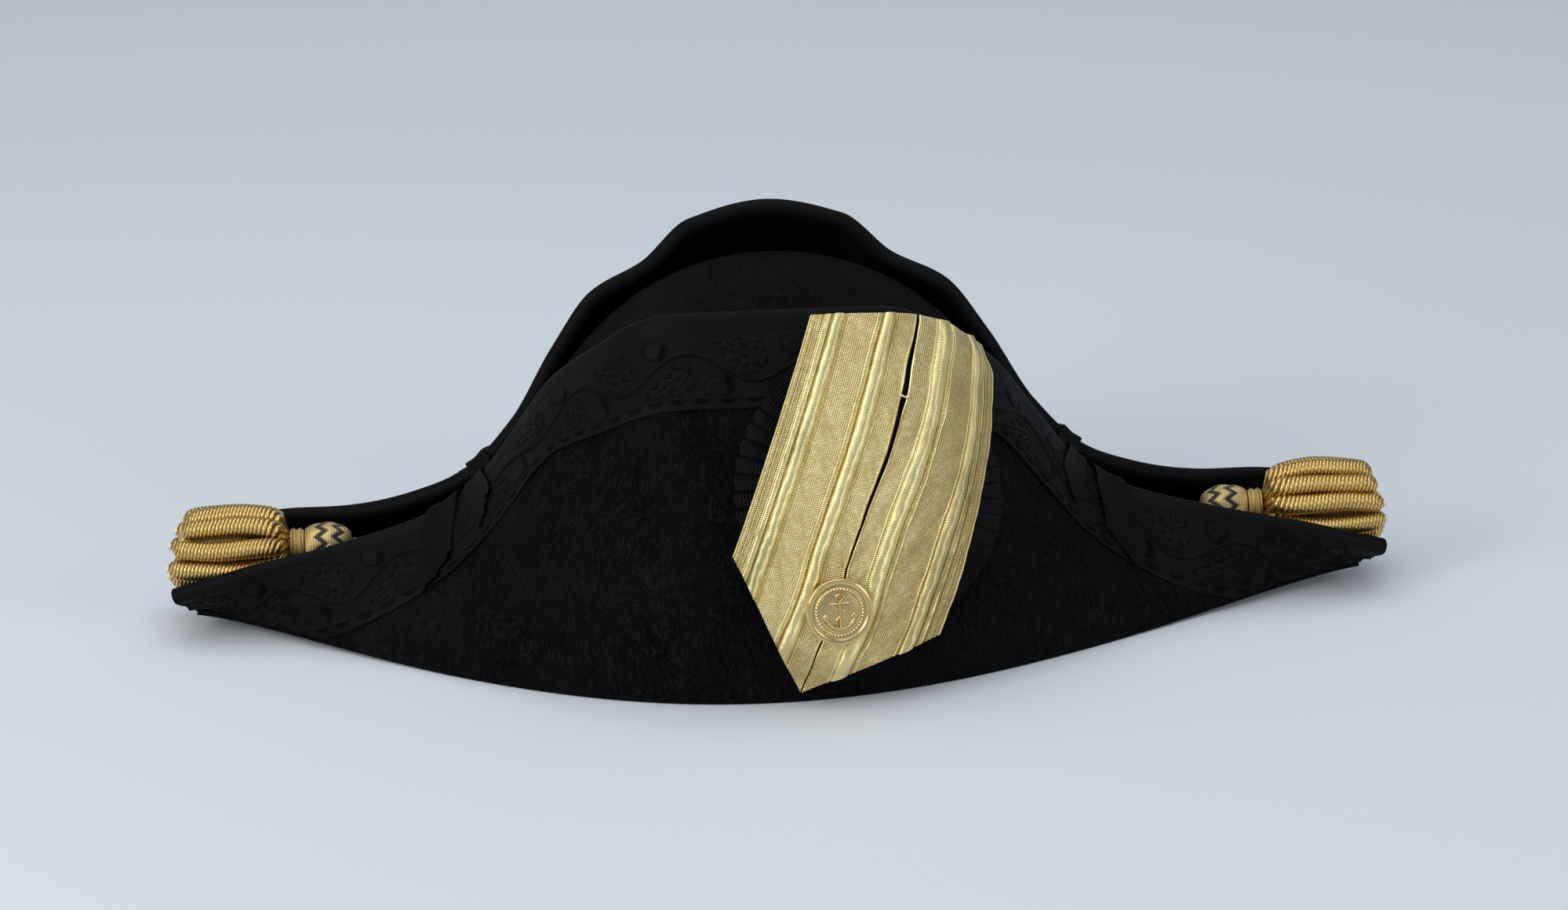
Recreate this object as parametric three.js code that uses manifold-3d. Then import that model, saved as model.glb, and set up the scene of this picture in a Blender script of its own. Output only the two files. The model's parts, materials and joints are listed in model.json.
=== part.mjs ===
// Fore-and-aft cocked hat of a dress uniform: a low crown between two tall fans, black silk lace,
// a pleated cockade under a gold loop and button, and a bullion tassel in each peak.
// Millimetres. +X is the front peak, -Y the right fan with the cockade, +Z up, the brim on Z = 0.
import * as THREE from 'three';
import { mergeVertices } from 'three/addons/utils/BufferGeometryUtils.js';
import Module from 'manifold-3d';

const wasm = await Module();
wasm.setup();

// ---- Driving dimensions ----

const seatGap = 0.3; // between two pieces that rest on each other
const softGap = 0.5; // between layers that follow the fan with facets of their own
const lapGap = 1; // between such layers where the fan turns its shoulder
const climbGap = 1.4; // between the loop's layers where they climb over the cockade

// Crown, outside
const crownHalfLength = 98;
const crownHalfWidth = 80;
const crownHeight = 128;
const crownRoundness = 2.1; // exponent of the dome's profile: 2 is an ellipse
const crownWall = 2.5;

// Brim and the fold where it turns up
const brimThickness = 3;
const brimLedge = 12; // from the crown's side out to the fold
const foldFullness = 1.56; // how fast the fold draws in towards the peaks
const rearFullness = 0.038; // shifts the widest place towards the rear
const tipHalfWidth = 5;
const tipRise = 5.5; // of the brim's ends above its flat middle
const flatShare = 0.5; // share of the fold's reach that lies flat

// Fans
const fanThickness = 2.8;
const tieBeyondCrown = 11; // from the crown's end to the tie
const peakLength = 104; // from the tie to the end of the fan's top edge
const tipOverhang = 6; // of the top edge past the end of the fold
const rightFanDrop = 4.5; // right fan's top below the crown's top
const leftFanStand = 11; // left fan's top above the crown's top
const wireDiameter = 1.4;

// Silk lace and ties
const laceWidth = 31.75;
const laceThickness = 0.7;
const laceTurnIn = 3; // of the lace down the fan's inner face
const ribbonThickness = 0.6;
const tieBandWidth = 11;
const tieTailWidth = 13;
const tieDrop = 27; // down the outer face of each fan

// Cockade
const cockadeRadius = 47.2;
const cockadeEyeRadius = 12;
const cockadeEdgeInset = 1.5; // from the fan's top edge
const cockadePleats = 50;
const pleatRise = 1.4;
const cockadeBase = 0.4;
const cockadeRingWidth = 11; // of one ring of facets, so that they follow the fan
const backingThickness = 0.6;
const cockadeAlong = 31.3; // of its centre, forward of the hat's middle
const cockadeUp = 68.3; // of its centre, up the fan from the fold

// Gold loop: two legs of one lace, folded to a point at the bottom
const loopLegWidth = 37.5;
const loopSlit = 1.2;
const loopThickness = 0.7;
const stripeRise = 0.5;
const loopLean = THREE.MathUtils.degToRad(23.4); // at its point, towards the front
const loopTipAlong = 3.8;
const loopTipUp = 1.6;
const loopClimb = 24; // over which the loop climbs to the cockade's edge
const loopRowHeight = 13.5; // of one row of facets, so that they follow the fan

// Button
const buttonRadius = 11.5;
const buttonUpLoop = 31.5; // from the loop's point to the button's centre
const shankWire = 1.3;
const shankWidth = 4.4;
const eyeletRadius = 3.5;
const ringRadius = 3.1;
const ringWire = 0.9;

// Tassels
const tasselRadius = 15.6; // over the bullions
const tasselAboveEdge = 8; // of the tassel's axis above the peak's edge, at least
const tasselAboveFold = 3.6; // of the bullions above the fold under them, at least
const tasselEndReach = 3; // of the bullions' ends past the end of the top edge
const bullionCount = 10;
const bullionLength = 43;
const bullionRadius = 3.45;
const collarLength = 5;
const headLength = 17;
const headRadius = 7.6;
const cordRadius = 1.6;
const cordAnchorHeight = 14; // where the cord is sewn to the crown's end
const cordEndGap = 0.85; // lets the cord's end lift clear of the crown

// Head opening
const liningThickness = 0.5;
const liningJoinHeight = 92;
const bandThickness = 1.2;
const bandHeight = 48;
const bandFootHeight = 0.8;
const reedHeight = 4;

// ---- Sizes worked out from them ----

const brimHalfWidth = crownHalfWidth + brimLedge;
const tieAt = crownHalfLength + tieBeyondCrown;
const topReach = tieAt + peakLength;
const foldReach = topReach - tipOverhang;
const channelHalfWidth = tasselRadius + fanThickness + laceThickness + 2 * softGap;
const laceLift = seatGap + laceThickness;
const edgeBuild = softGap + lapGap + wireDiameter + laceThickness; // wire and lace over the fan's edge
const liningInset = crownWall + softGap;
const bandInset = liningInset + liningThickness + softGap;

// ---- Finishes ----

function finish(colour, roughness, metalness = 0) {
  return new THREE.MeshStandardMaterial({ color: colour, roughness, metalness });
}

const plush = () => finish(0x0c0d0f, 0.95);
const silk = () => finish(0x111216, 0.7);
const buckram = () => finish(0x1a1a1a, 0.9);
const gold = () => finish(0xb08a3c, 0.42, 0.85);
const gilt = () => finish(0xc79a45, 0.28, 1);
const steel = () => finish(0x7d7f82, 0.4, 1);
const leather = () => finish(0x6e4526, 0.6);
const satin = () => finish(0xd8cfbd, 0.45);

// ---- Building tools ----

function closedGeometry(positions, index) {
  const geometry = new THREE.BufferGeometry();
  geometry.setAttribute('position', new THREE.Float32BufferAttribute(positions, 3));
  geometry.setIndex(index);
  geometry.computeVertexNormals();
  return geometry;
}

function enclosedVolume(positions, index) {
  const corner = (i) => new THREE.Vector3().fromArray(positions, 3 * index[i]);
  let volume = 0;
  for (let i = 0; i < index.length; i += 3) {
    volume += corner(i).dot(corner(i + 1).cross(corner(i + 2))) / 6;
  }
  return volume;
}

// Joins loops of points, all of one even count, into a closed body. A loop goes down one skin and
// back up the other, so the two halves are split along opposite corners and stay parallel. An open
// run of loops is capped by strips between the halves.
function loft(loops, { closed = false } = {}) {
  const count = loops[0].length;
  const positions = loops.flat().flatMap((point) => point.toArray());
  const index = [];
  const quad = (a, b, c, d) => index.push(a, b, c, a, c, d);
  const otherQuad = (a, b, c, d) => index.push(a, b, d, b, c, d);
  const bands = closed ? loops.length : loops.length - 1;
  for (let band = 0; band < bands; band++) {
    const here = band * count;
    const there = ((band + 1) % loops.length) * count;
    for (let i = 0; i < count; i++) {
      const next = (i + 1) % count;
      const split = i < count / 2 - 1 ? quad : otherQuad;
      split(here + i, here + next, there + next, there + i);
    }
  }
  for (let i = 0; !closed && i < count / 2 - 1; i++) {
    const last = (loops.length - 1) * count;
    const strip = [i, i + 1, count - 2 - i, count - 1 - i];
    quad(...strip.map((corner) => last + corner));
    quad(...strip.reverse());
  }
  if (enclosedVolume(positions, index) < 0) index.reverse();
  return closedGeometry(positions, index);
}

function solidOf(geometry) {
  const bare = geometry.clone();
  bare.deleteAttribute('normal');
  bare.deleteAttribute('uv');
  const merged = mergeVertices(bare, 1e-4);
  return new wasm.Manifold(new wasm.Mesh({
    numProp: 3,
    vertProperties: new Float32Array(merged.attributes.position.array),
    triVerts: new Uint32Array(merged.index.array),
  }));
}

function cutBy(geometry, cutter) {
  const cut = solidOf(geometry).subtract(solidOf(cutter)).getMesh();
  return closedGeometry(Array.from(cut.vertProperties), Array.from(cut.triVerts));
}

function piece(name, geometry, material) {
  const mesh = new THREE.Mesh(geometry, material);
  mesh.name = name;
  return mesh;
}

// Turned about Z, from a profile of [radius, height] that starts and ends on the axis.
function lathe(profile, sides) {
  const points = profile.map(([radius, height]) => new THREE.Vector2(radius, height));
  return new THREE.LatheGeometry(points, sides).rotateX(Math.PI / 2);
}

function wireAlong(points, diameter, sides, steps, closed = false) {
  const section = new THREE.Shape();
  section.setFromPoints(range(sides).map((side) => {
    const turn = (2 * Math.PI * side) / sides;
    return new THREE.Vector2(Math.cos(turn), Math.sin(turn)).multiplyScalar(diameter / 2);
  }));
  const extrudePath = new THREE.CatmullRomCurve3(points, closed);
  return new THREE.ExtrudeGeometry(section, { steps, extrudePath, bevelEnabled: false });
}

function range(count) {
  return Array.from({ length: count }, (_, i) => i);
}

// Numbers from start to end, both included.
function spread(start, end, count) {
  return range(count).map((i) => start + ((end - start) * i) / (count - 1));
}

// A smooth rise through stations that never overshoots them. Level at the first station.
function throughStations(places, values) {
  const slopes = range(places.length - 1).map(
    (i) => (values[i + 1] - values[i]) / (places[i + 1] - places[i]));
  const tangents = places.map((_, i) => {
    if (i === 0) return 0;
    if (i === places.length - 1) return slopes[i - 1];
    const [before, after] = [slopes[i - 1], slopes[i]];
    return before * after <= 0 ? 0 : (2 * before * after) / (before + after);
  });
  return (place) => {
    let i = 0;
    while (i < places.length - 2 && place > places[i + 1]) i++;
    const step = places[i + 1] - places[i];
    const u = (place - places[i]) / step;
    const level = values[i] * (1 + 2 * u) * (1 - u) ** 2 + values[i + 1] * u * u * (3 - 2 * u);
    return level + step * u * (1 - u) * (tangents[i] * (1 - u) - tangents[i + 1] * u);
  };
}

// ---- The fans' surface ----

// Each station of a fan's top edge, from the middle of the hat (0) past the tie (1) to the tip (2):
// [place, share of the brim's half width, share of the channel's, share of the fan's height,
//  height of the fan's belly as a share of the edge's].
function makeFan(side, height, stations) {
  const places = stations.map((row) => row[0]);
  const column = (i) => throughStations(places, stations.map((row) => row[i]));
  return {
    side, height, acrossBrim: column(1), acrossChannel: column(2), rise: column(3), belly: column(4),
  };
}

const rightFan = makeFan(-1, crownHeight - rightFanDrop, [
  [0, 0.554, 0, 1, 0.45],
  [0.25, 0.55, 0, 0.999, 0.45],
  [0.36, 0.53, 0, 0.99, 0.47],
  [0.46, 0.476, 0, 0.952, 0.5],
  [0.55, 0.38, 0, 0.882, 0.54],
  [0.64, 0.24, 0.11, 0.805, 0.6],
  [0.716, 0.12, 0.26, 0.732, 0.64],
  [0.844, 0, 0.5, 0.563, 0.68],
  [1, 0, 0.42, 0.393, 0.6],
  [1.163, 0, 0.58, 0.32, 0.5],
  [1.394, 0, 0.9, 0.271, 0.45],
  [1.567, 0, 0.98, 0.231, 0.45],
  [1.779, 0, 0.98, 0.182, 0.45],
  [2, 0, 0.74, 0.117, 0.5],
]);

const leftFan = makeFan(1, crownHeight + leftFanStand, [
  [0, 0.326, 0, 1, 0.58],
  [0.248, 0.32, 0, 0.957, 0.58],
  [0.404, 0.272, 0, 0.86, 0.6],
  [0.57, 0.19, 0, 0.806, 0.62],
  [0.7, 0.08, 0.29, 0.675, 0.58],
  [0.844, 0, 0.56, 0.489, 0.56],
  [1, 0, 0.45, 0.367, 0.6],
  [1.163, 0, 0.58, 0.306, 0.5],
  [1.394, 0, 0.95, 0.245, 0.45],
  [1.663, 0, 1.04, 0.22, 0.45],
  [1.85, 0, 1.02, 0.17, 0.45],
  [2, 0, 0.76, 0.108, 0.5],
]);

function placeAlong(x) {
  const distance = Math.abs(x);
  return distance < tieAt ? distance / tieAt : 1 + (distance - tieAt) / peakLength;
}

function foldHalfWidth(share) {
  const skewed = share + rearFullness * (1 - share * share);
  const fullness = Math.max(0, 1 - skewed * skewed) ** foldFullness;
  return tipHalfWidth + (brimHalfWidth - tipHalfWidth) * fullness;
}

function brimRise(x) {
  const past = Math.max(0, Math.abs(x) / foldReach - flatShare) / (1 - flatShare);
  return tipRise * past * past;
}

function edgeHeight(fan, x) {
  return fan.rise(placeAlong(x)) * fan.height;
}

// Point of a fan's outer face: x along the top edge, t from the fold (0) to the edge (1).
function fanFace(fan, x, t) {
  const place = placeAlong(x);
  const foldX = (x * foldReach) / topReach;
  const foldY = foldHalfWidth(x / topReach);
  const foldZ = brimRise(foldX) + brimThickness + seatGap;
  const edgeY = fan.acrossBrim(place) * brimHalfWidth + fan.acrossChannel(place) * channelHalfWidth;
  const edgeZ = edgeHeight(fan, x);
  const opening = Math.min(1, Math.max(0, place - 1)) / 2;
  const bellyY = foldY * (1 - opening) + edgeY * opening;
  const bellyZ = foldZ + (edgeZ - foldZ) * fan.belly(place);
  const [low, middle, high] = [(1 - t) ** 2, 2 * t * (1 - t), t * t];
  return new THREE.Vector3(
    foldX + (x - foldX) * t,
    fan.side * (low * foldY + middle * bellyY + high * edgeY),
    low * foldZ + middle * bellyZ + high * edgeZ,
  );
}

function fanFrame(fan, x, t) {
  const step = 0.5;
  const along = fanFace(fan, x + step, t).sub(fanFace(fan, x - step, t)).divideScalar(2 * step);
  const up = fanFace(fan, x, t + 0.01).sub(fanFace(fan, x, t - 0.01)).divideScalar(0.02);
  const out = along.clone().cross(up).multiplyScalar(-fan.side).normalize();
  return { along, up, out };
}

// The same point lifted off the face. Along the fold the lift is level.
function onFace(fan, x, t, lift) {
  const { out } = fanFrame(fan, x, t);
  if (t === 0) out.setZ(0).normalize();
  return fanFace(fan, x, t).addScaledVector(out, lift);
}

// The same, past the top edge by some distance in the face's own plane.
function pastEdge(fan, x, beyond, lift) {
  const { up, out } = fanFrame(fan, x, 1);
  return fanFace(fan, x, 1).addScaledVector(up.normalize(), beyond).addScaledVector(out, lift);
}

// Where a pace in a direction along the face ends.
function paceOnFan(fan, x, t, direction, pace) {
  const { along, up } = fanFrame(fan, x, t);
  const [aa, au, uu] = [along.dot(along), along.dot(up), up.dot(up)];
  const [da, du] = [direction.dot(along), direction.dot(up)];
  const share = pace / (aa * uu - au * au);
  return [x + (da * uu - du * au) * share, t + (du * aa - da * au) * share];
}

// Places [x, t] on the face at set distances from the top edge, square to it.
function acrossBand(fan, edgeX, distances) {
  const smoothing = 16;
  const paces = 10;
  const lowest = 0.14;
  const before = fanFace(fan, Math.max(-topReach, edgeX - smoothing), 1);
  const edge = fanFace(fan, Math.min(topReach, edgeX + smoothing), 1).sub(before).normalize();
  let [x, t] = [edgeX, 1];
  const places = [[x, t]];
  for (let i = 1; i < distances.length; i++) {
    for (let pace = 0; pace < paces && t > lowest; pace++) {
      const { out } = fanFrame(fan, x, t);
      const down = out.cross(edge).multiplyScalar(fan.side).normalize();
      [x, t] = paceOnFan(fan, x, t, down, (distances[i] - distances[i - 1]) / paces);
      t = Math.max(lowest, t);
    }
    places.push([x, t]);
  }
  return places;
}

// Stations along the top edge, closest together where the fan turns its shoulder.
const shoulder = [0.25, 0.86].map((share) => share * tieAt);
const halfStations = [
  ...spread(0, shoulder[0], 3), ...spread(shoulder[0], shoulder[1], 8).slice(1),
  ...spread(shoulder[1], topReach, 8).slice(1),
];
const fanStations = [...halfStations.slice(1).reverse().map((x) => -x), ...halfStations];
const laceRows = [0, ...spread(laceTurnIn, laceWidth, 3)];
const lowerRows = 3;

// One column of [x, t] places from the top edge down to the fold.
function fanColumn(fan, edgeX) {
  const band = acrossBand(fan, edgeX, laceRows);
  const [bandX, bandT] = band[band.length - 1];
  const rest = spread(0, 1, lowerRows + 1).slice(1);
  return band.concat(rest.map((share) => [bandX + (edgeX - bandX) * share, bandT * (1 - share)]));
}

function makeFanPanel(fan) {
  return loft(fanStations.map((edgeX) => {
    const column = fanColumn(fan, edgeX);
    const outer = column.map(([x, t]) => onFace(fan, x, t, 0));
    const inner = column.map(([x, t]) => onFace(fan, x, t, -fanThickness));
    return outer.concat(inner.reverse());
  }));
}

// The wire lies on the fan's edge, under the lace.
function makeEdgeWire(fan) {
  const radius = wireDiameter / 2;
  const corners = spread(0, 2 * Math.PI, 5).slice(1);
  return loft(fanStations.map((x) => corners.map((turn) => pastEdge(
    fan, x, softGap + radius + radius * Math.sin(turn), radius * Math.cos(turn) - fanThickness / 2))));
}

// Lace over the outer face, the wire and the first of its rows down the inner face.
function makeFanLace(fan) {
  const top = edgeBuild - laceThickness - seatGap;
  const inner = -fanThickness - lapGap + seatGap;
  return loft(fanStations.map((edgeX) => {
    const band = acrossBand(fan, edgeX, laceRows);
    const [turnX, turnT] = band[1];
    const skin = (lift) => [
      onFace(fan, turnX, turnT, inner - lift),
      onFace(fan, edgeX, 1, inner - lift),
      pastEdge(fan, edgeX, top + lift, inner - lift),
      pastEdge(fan, edgeX, top + lift, lift),
      ...band.map(([x, t]) => onFace(fan, x, t, lift)),
    ];
    return skin(laceLift).concat(skin(seatGap).reverse());
  }));
}

const tieLift = laceLift + 2 * lapGap;

// A ribbon over both fans where they meet, or down the right fan only.
function makeTie(centreX, width, overBoth, lift) {
  const distances = spread(0, tieDrop, 5);
  const beyond = edgeBuild + lapGap;
  const drop = (fan, x, height) => [
    pastEdge(fan, x, beyond + height - lift, height),
    ...acrossBand(fan, x, distances).map(([bandX, t]) => onFace(fan, bandX, t, height)),
  ];
  const path = (x, height) => {
    const right = drop(rightFan, x, height).reverse();
    return overBoth ? right.concat(drop(leftFan, x, height)) : right;
  };
  const [rear, front] = [centreX - width / 2, centreX + width / 2];
  const strands = [
    path(rear, lift), path(front, lift),
    path(front, lift + ribbonThickness), path(rear, lift + ribbonThickness),
  ];
  return loft(strands[0].map((_, i) => strands.map((strand) => strand[i])));
}

// ---- Walks over the right fan's face, which lay a strip or a disc on it without a stretch ----

const walkPace = 2;

// Share t of a height up the face from the fold.
function shareUp(x, up) {
  const lengths = [0];
  let before = fanFace(rightFan, x, 0);
  for (const t of spread(0, 1, 17).slice(1)) {
    const point = fanFace(rightFan, x, t);
    lengths.push(lengths[lengths.length - 1] + point.distanceTo(before));
    before = point;
  }
  const steps = lengths.length - 1;
  let i = 0;
  while (i < steps - 1 && up > lengths[i + 1]) i++;
  return (i + (up - lengths[i]) / (lengths[i + 1] - lengths[i])) / steps;
}

// Starts at a height up the face, with a heading that leans forward from straight up.
function startWalk(along, up, lean) {
  const t = shareUp(along, up);
  const frame = fanFrame(rightFan, along, t);
  const forward = frame.along.normalize();
  const heading = frame.out.cross(forward).multiplyScalar(Math.cos(lean));
  return { x: along, t, heading: heading.addScaledVector(forward, Math.sin(lean)) };
}

function walkOn({ x, t, heading }, distance) {
  const paces = Math.ceil(Math.abs(distance) / walkPace);
  let ahead = heading;
  for (let i = 0; i < paces; i++) {
    ahead = ahead.clone().projectOnPlane(fanFrame(rightFan, x, t).out).normalize();
    [x, t] = paceOnFan(rightFan, x, t, ahead, distance / paces);
  }
  return { x, t, heading: ahead };
}

function turnForward({ x, t, heading }) {
  return { x, t, heading: heading.clone().cross(fanFrame(rightFan, x, t).out) };
}

// ---- Cockade ----

const cockadeStart = startWalk(cockadeAlong, cockadeUp, 0);
const cockadeMiddle = fanFace(rightFan, cockadeStart.x, cockadeStart.t);

// A ray of the cockade, with its reach kept off the fan's top edge.
function cockadeRay(turn) {
  const start = startWalk(cockadeAlong, cockadeUp, Math.PI / 2 - turn);
  let reach = cockadeRadius;
  const tooHigh = () => {
    const { x, t } = walkOn(start, reach);
    const toEdge = fanFace(rightFan, x, t).distanceTo(fanFace(rightFan, x, 1));
    return t > 1 || toEdge < cockadeEdgeInset;
  };
  while (tooHigh()) reach -= 0.5;
  return { start, reach };
}

// Point of a ray, by its share of the way from the eye to the rim.
function onCockade({ start, reach }, share, lift) {
  const { x, t } = walkOn(start, cockadeEyeRadius + (reach - cockadeEyeRadius) * share);
  return onFace(rightFan, x, t, lift);
}

const backingLift = laceLift + lapGap;
const cockadeLift = backingLift + backingThickness + lapGap;
const overCockade = cockadeLift + cockadeBase + pleatRise + climbGap;
const backingShare = 0.9; // of the cockade's reach, so that the backing stays hidden under it
const cockadeRings = Math.round((cockadeRadius - cockadeEyeRadius) / cockadeRingWidth);
const cockadeShares = spread(0, 1, cockadeRings + 1);

function makeCockadeBacking() {
  const rays = range(cockadePleats / 2).map(
    (pleat) => cockadeRay((4 * Math.PI * pleat) / cockadePleats));
  const ring = (share, lift) => rays.map((ray) => onCockade(ray, share, lift));
  const shares = cockadeShares.with(-1, backingShare);
  const outer = shares.map((share) => ring(share, backingLift + backingThickness));
  const inner = shares.map((share) => ring(share, backingLift));
  return loft(outer.concat(inner.reverse()), { closed: true });
}

// Knife pleats: each rises across its width and drops sharply to the next.
function makeCockade() {
  const loops = range(cockadePleats).flatMap((pleat) => [0.04, 0.96].map((share) => {
    const ray = cockadeRay((2 * Math.PI * (pleat + share)) / cockadePleats);
    const crest = share > 0.5 ? pleatRise : 0;
    const top = cockadeShares.map((along) => onCockade(
      ray, along, cockadeLift + cockadeBase + crest * (0.3 + 0.7 * along)));
    const bottom = cockadeShares.map((along) => onCockade(ray, along, cockadeLift));
    return top.concat(bottom.reverse());
  }));
  return loft(loops, { closed: true });
}

// ---- Gold loop ----

const spinePace = 4;
const loopSpine = [startWalk(loopTipAlong, loopTipUp, loopLean)];
while (loopSpine.at(-1).t < 1) loopSpine.push(walkOn(loopSpine.at(-1), spinePace));

// Across the loop from its slit, at a distance up the slit from its point.
function loopSpot(across, up) {
  const i = Math.min(loopSpine.length - 1, Math.floor(up / spinePace));
  const onSpine = walkOn(loopSpine[i], up - i * spinePace);
  return walkOn(turnForward(onSpine), across);
}

// The loop lies on the fan and its lace, and climbs over the cockade.
function loopFootLift({ x, t }) {
  const fromCockade = fanFace(rightFan, x, t).distanceTo(cockadeMiddle) - cockadeRadius;
  const over = 1 - THREE.MathUtils.smoothstep(fromCockade, loopClimb / 3, loopClimb);
  return backingLift + (overCockade - backingLift) * over;
}

const loopTopRounds = 12;
const loopTopShare = 0.8; // of what is left to the edge, taken in each round

// Where a line of the loop meets the fan's edge.
function loopTop(across) {
  let up = cockadeUp;
  for (let round = 0; round < loopTopRounds; round++) {
    const { x, t } = loopSpot(across, up);
    const left = fanFace(rightFan, x, t).distanceTo(fanFace(rightFan, x, 1));
    up += loopTopShare * left * Math.sign(1 - t);
  }
  return up;
}

function onLoop(across, share, lift, top) {
  const foot = Math.abs(across);
  const spot = loopSpot(across, foot + (top - foot) * share);
  return onFace(rightFan, spot.x, spot.t, loopFootLift(spot) + lift);
}

// A strip of the loop from its slanted foot to the fan's edge, with a profile of [across, height].
function makeLoopStrip(profile, underside) {
  const tops = profile.map(([across]) => loopTop(across));
  const rows = Math.round(Math.max(...tops) / loopRowHeight) + 1;
  return loft(spread(0, 1, rows).map((share) => {
    const upper = profile.map(([across, height], i) => onLoop(across, share, height, tops[i]));
    const lower = profile.map(([across], i) => onLoop(across, share, underside, tops[i]));
    return upper.concat(lower.reverse());
  }));
}

const loopLegLift = backingThickness + climbGap;
const loopOutside = loopSlit / 2 + loopLegWidth;

// Each leg has two smooth raised stripes between woven zones.
function makeLoopLeg(side) {
  const flat = loopLegLift + loopThickness;
  const raised = flat + stripeRise;
  const places = [
    [0, flat], [0.16, flat], [0.19, raised], [0.25, raised], [0.28, flat],
    [0.66, flat], [0.69, raised], [0.75, raised], [0.78, flat], [1, flat],
  ];
  return makeLoopStrip(places.map(
    ([share, height]) => [side * (loopOutside - loopLegWidth * share), height]), loopLegLift);
}

function makeLoopBacking() {
  const shares = [0.03, 0.16, 0.28, 0.66, 0.78, 1];
  const across = shares.map((share) => loopOutside - loopLegWidth * share);
  const profile = [...across.map((place) => -place), ...across.toReversed()];
  return makeLoopStrip(profile.map((place) => [place, backingThickness]), 0);
}

// ---- Button ----

const buttonStem = loopLegLift + loopThickness + stripeRise + seatGap;
const buttonSpot = loopSpot(0, buttonUpLoop);
const buttonFoot = fanFace(rightFan, buttonSpot.x, buttonSpot.t);
const buttonOut = fanFrame(rightFan, buttonSpot.x, buttonSpot.t).out;
const buttonSeat = loopFootLift(buttonSpot) + buttonStem;

const buttonPlace = new THREE.Group();
buttonPlace.position.copy(buttonFoot);
buttonPlace.quaternion.setFromUnitVectors(new THREE.Vector3(0, 0, 1), buttonOut);
buttonPlace.updateMatrix();

function makeEyeletCutter() {
  const cutter = new THREE.CylinderGeometry(eyeletRadius, eyeletRadius, 40, 20).rotateX(Math.PI / 2);
  return cutter.applyMatrix4(buttonPlace.matrix);
}

// Struck shell: domed face, raised rim, turned in over the back disc.
function makeButtonShell() {
  const r = buttonRadius;
  return lathe([
    [0, 2.7], [r * 0.45, 2.5], [r * 0.8, 1.9], [r * 0.9, 2], [r * 0.9, 1.2], [r * 0.86, 0.9],
    [r * 0.86, 0.3], [r * 0.96, 0.6], [r, 1.8], [r * 0.96, 2.8], [r * 0.85, 2.9], [r * 0.8, 2.5],
    [r * 0.45, 3.1], [0, 3.3],
  ].map(([radius, along]) => [radius, along + buttonSeat]), 18);
}

function makeButtonBack() {
  const r = buttonRadius * 0.82;
  return lathe([
    [0, 0.5], [r * 0.5, 0.5], [r, 0.8], [r, 1.4], [0, 1.6],
  ].map(([radius, along]) => [radius, along + buttonSeat]), 24);
}

// Wire eye that reaches through the eyelet to the ring behind the fan.
function makeButtonShank() {
  const top = buttonSeat + 0.5 - seatGap;
  const bend = shankWidth / 2;
  const turn = -fanThickness - lapGap - ringWire - seatGap;
  const arc = spread(0, Math.PI, 7).map((angle) => new THREE.Vector3(
    0, -bend * Math.cos(angle), turn - bend * Math.sin(angle)));
  const legs = [new THREE.Vector3(0, -bend, top), new THREE.Vector3(0, bend, top)];
  return wireAlong([legs[0], ...arc, legs[1]], shankWire, 6, 18);
}

// The ring runs through the eye, flat behind the fan.
function makeButtonRing() {
  const below = -fanThickness - lapGap - ringWire / 2;
  return new THREE.TorusGeometry(ringRadius, ringWire / 2, 6, 16).translate(0, ringRadius, below);
}

// ---- Crown, brim and head opening ----

function ovalRing(halfLength, halfWidth, z) {
  return range(domeSides).map((side) => {
    const turn = (2 * Math.PI * (side + 0.5)) / domeSides;
    return new THREE.Vector3(halfLength * Math.cos(turn), halfWidth * Math.sin(turn), z);
  });
}

const crownFoot = brimThickness + seatGap;
const domeSides = 22;

// Level ring of the dome, set in from the crown's outer face.
function domeRing(inset, z) {
  const height = crownHeight - crownFoot - inset;
  const share = Math.min(1, Math.max(0, z - crownFoot) / height);
  const width = Math.max(0.03, (1 - share ** crownRoundness) ** (1 / crownRoundness));
  return ovalRing((crownHalfLength - inset) * width, (crownHalfWidth - inset) * width, z);
}

// Heights shared by all that lies in the dome, so that its layers keep their distance.
const domeHeights = [
  bandHeight / 2, bandHeight, (bandHeight + liningJoinHeight) / 2,
  ...[0, 0.45, 0.75, 0.93].map((share) => liningJoinHeight + (crownHeight - liningJoinHeight) * share),
];

function domeLevels(foot, top) {
  const apart = 1.5;
  const between = domeHeights.filter((z) => z > foot + apart && z < top - apart);
  return [foot, ...between, top];
}

function domeFace(inset, foot, top) {
  return domeLevels(foot, top).map((z) => domeRing(inset, z));
}

function domeShell(inset, thickness, foot) {
  const within = inset + thickness;
  const outer = domeFace(inset, foot, crownHeight - inset);
  return loft(outer.reverse().concat(domeFace(within, foot, crownHeight - within)));
}

// Band inside the dome that follows its wall between two heights.
function domeBand(inset, thickness, foot, top) {
  const outer = domeFace(inset, foot, top);
  return loft(outer.concat(domeFace(inset + thickness, foot, top).reverse()), { closed: true });
}

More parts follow.
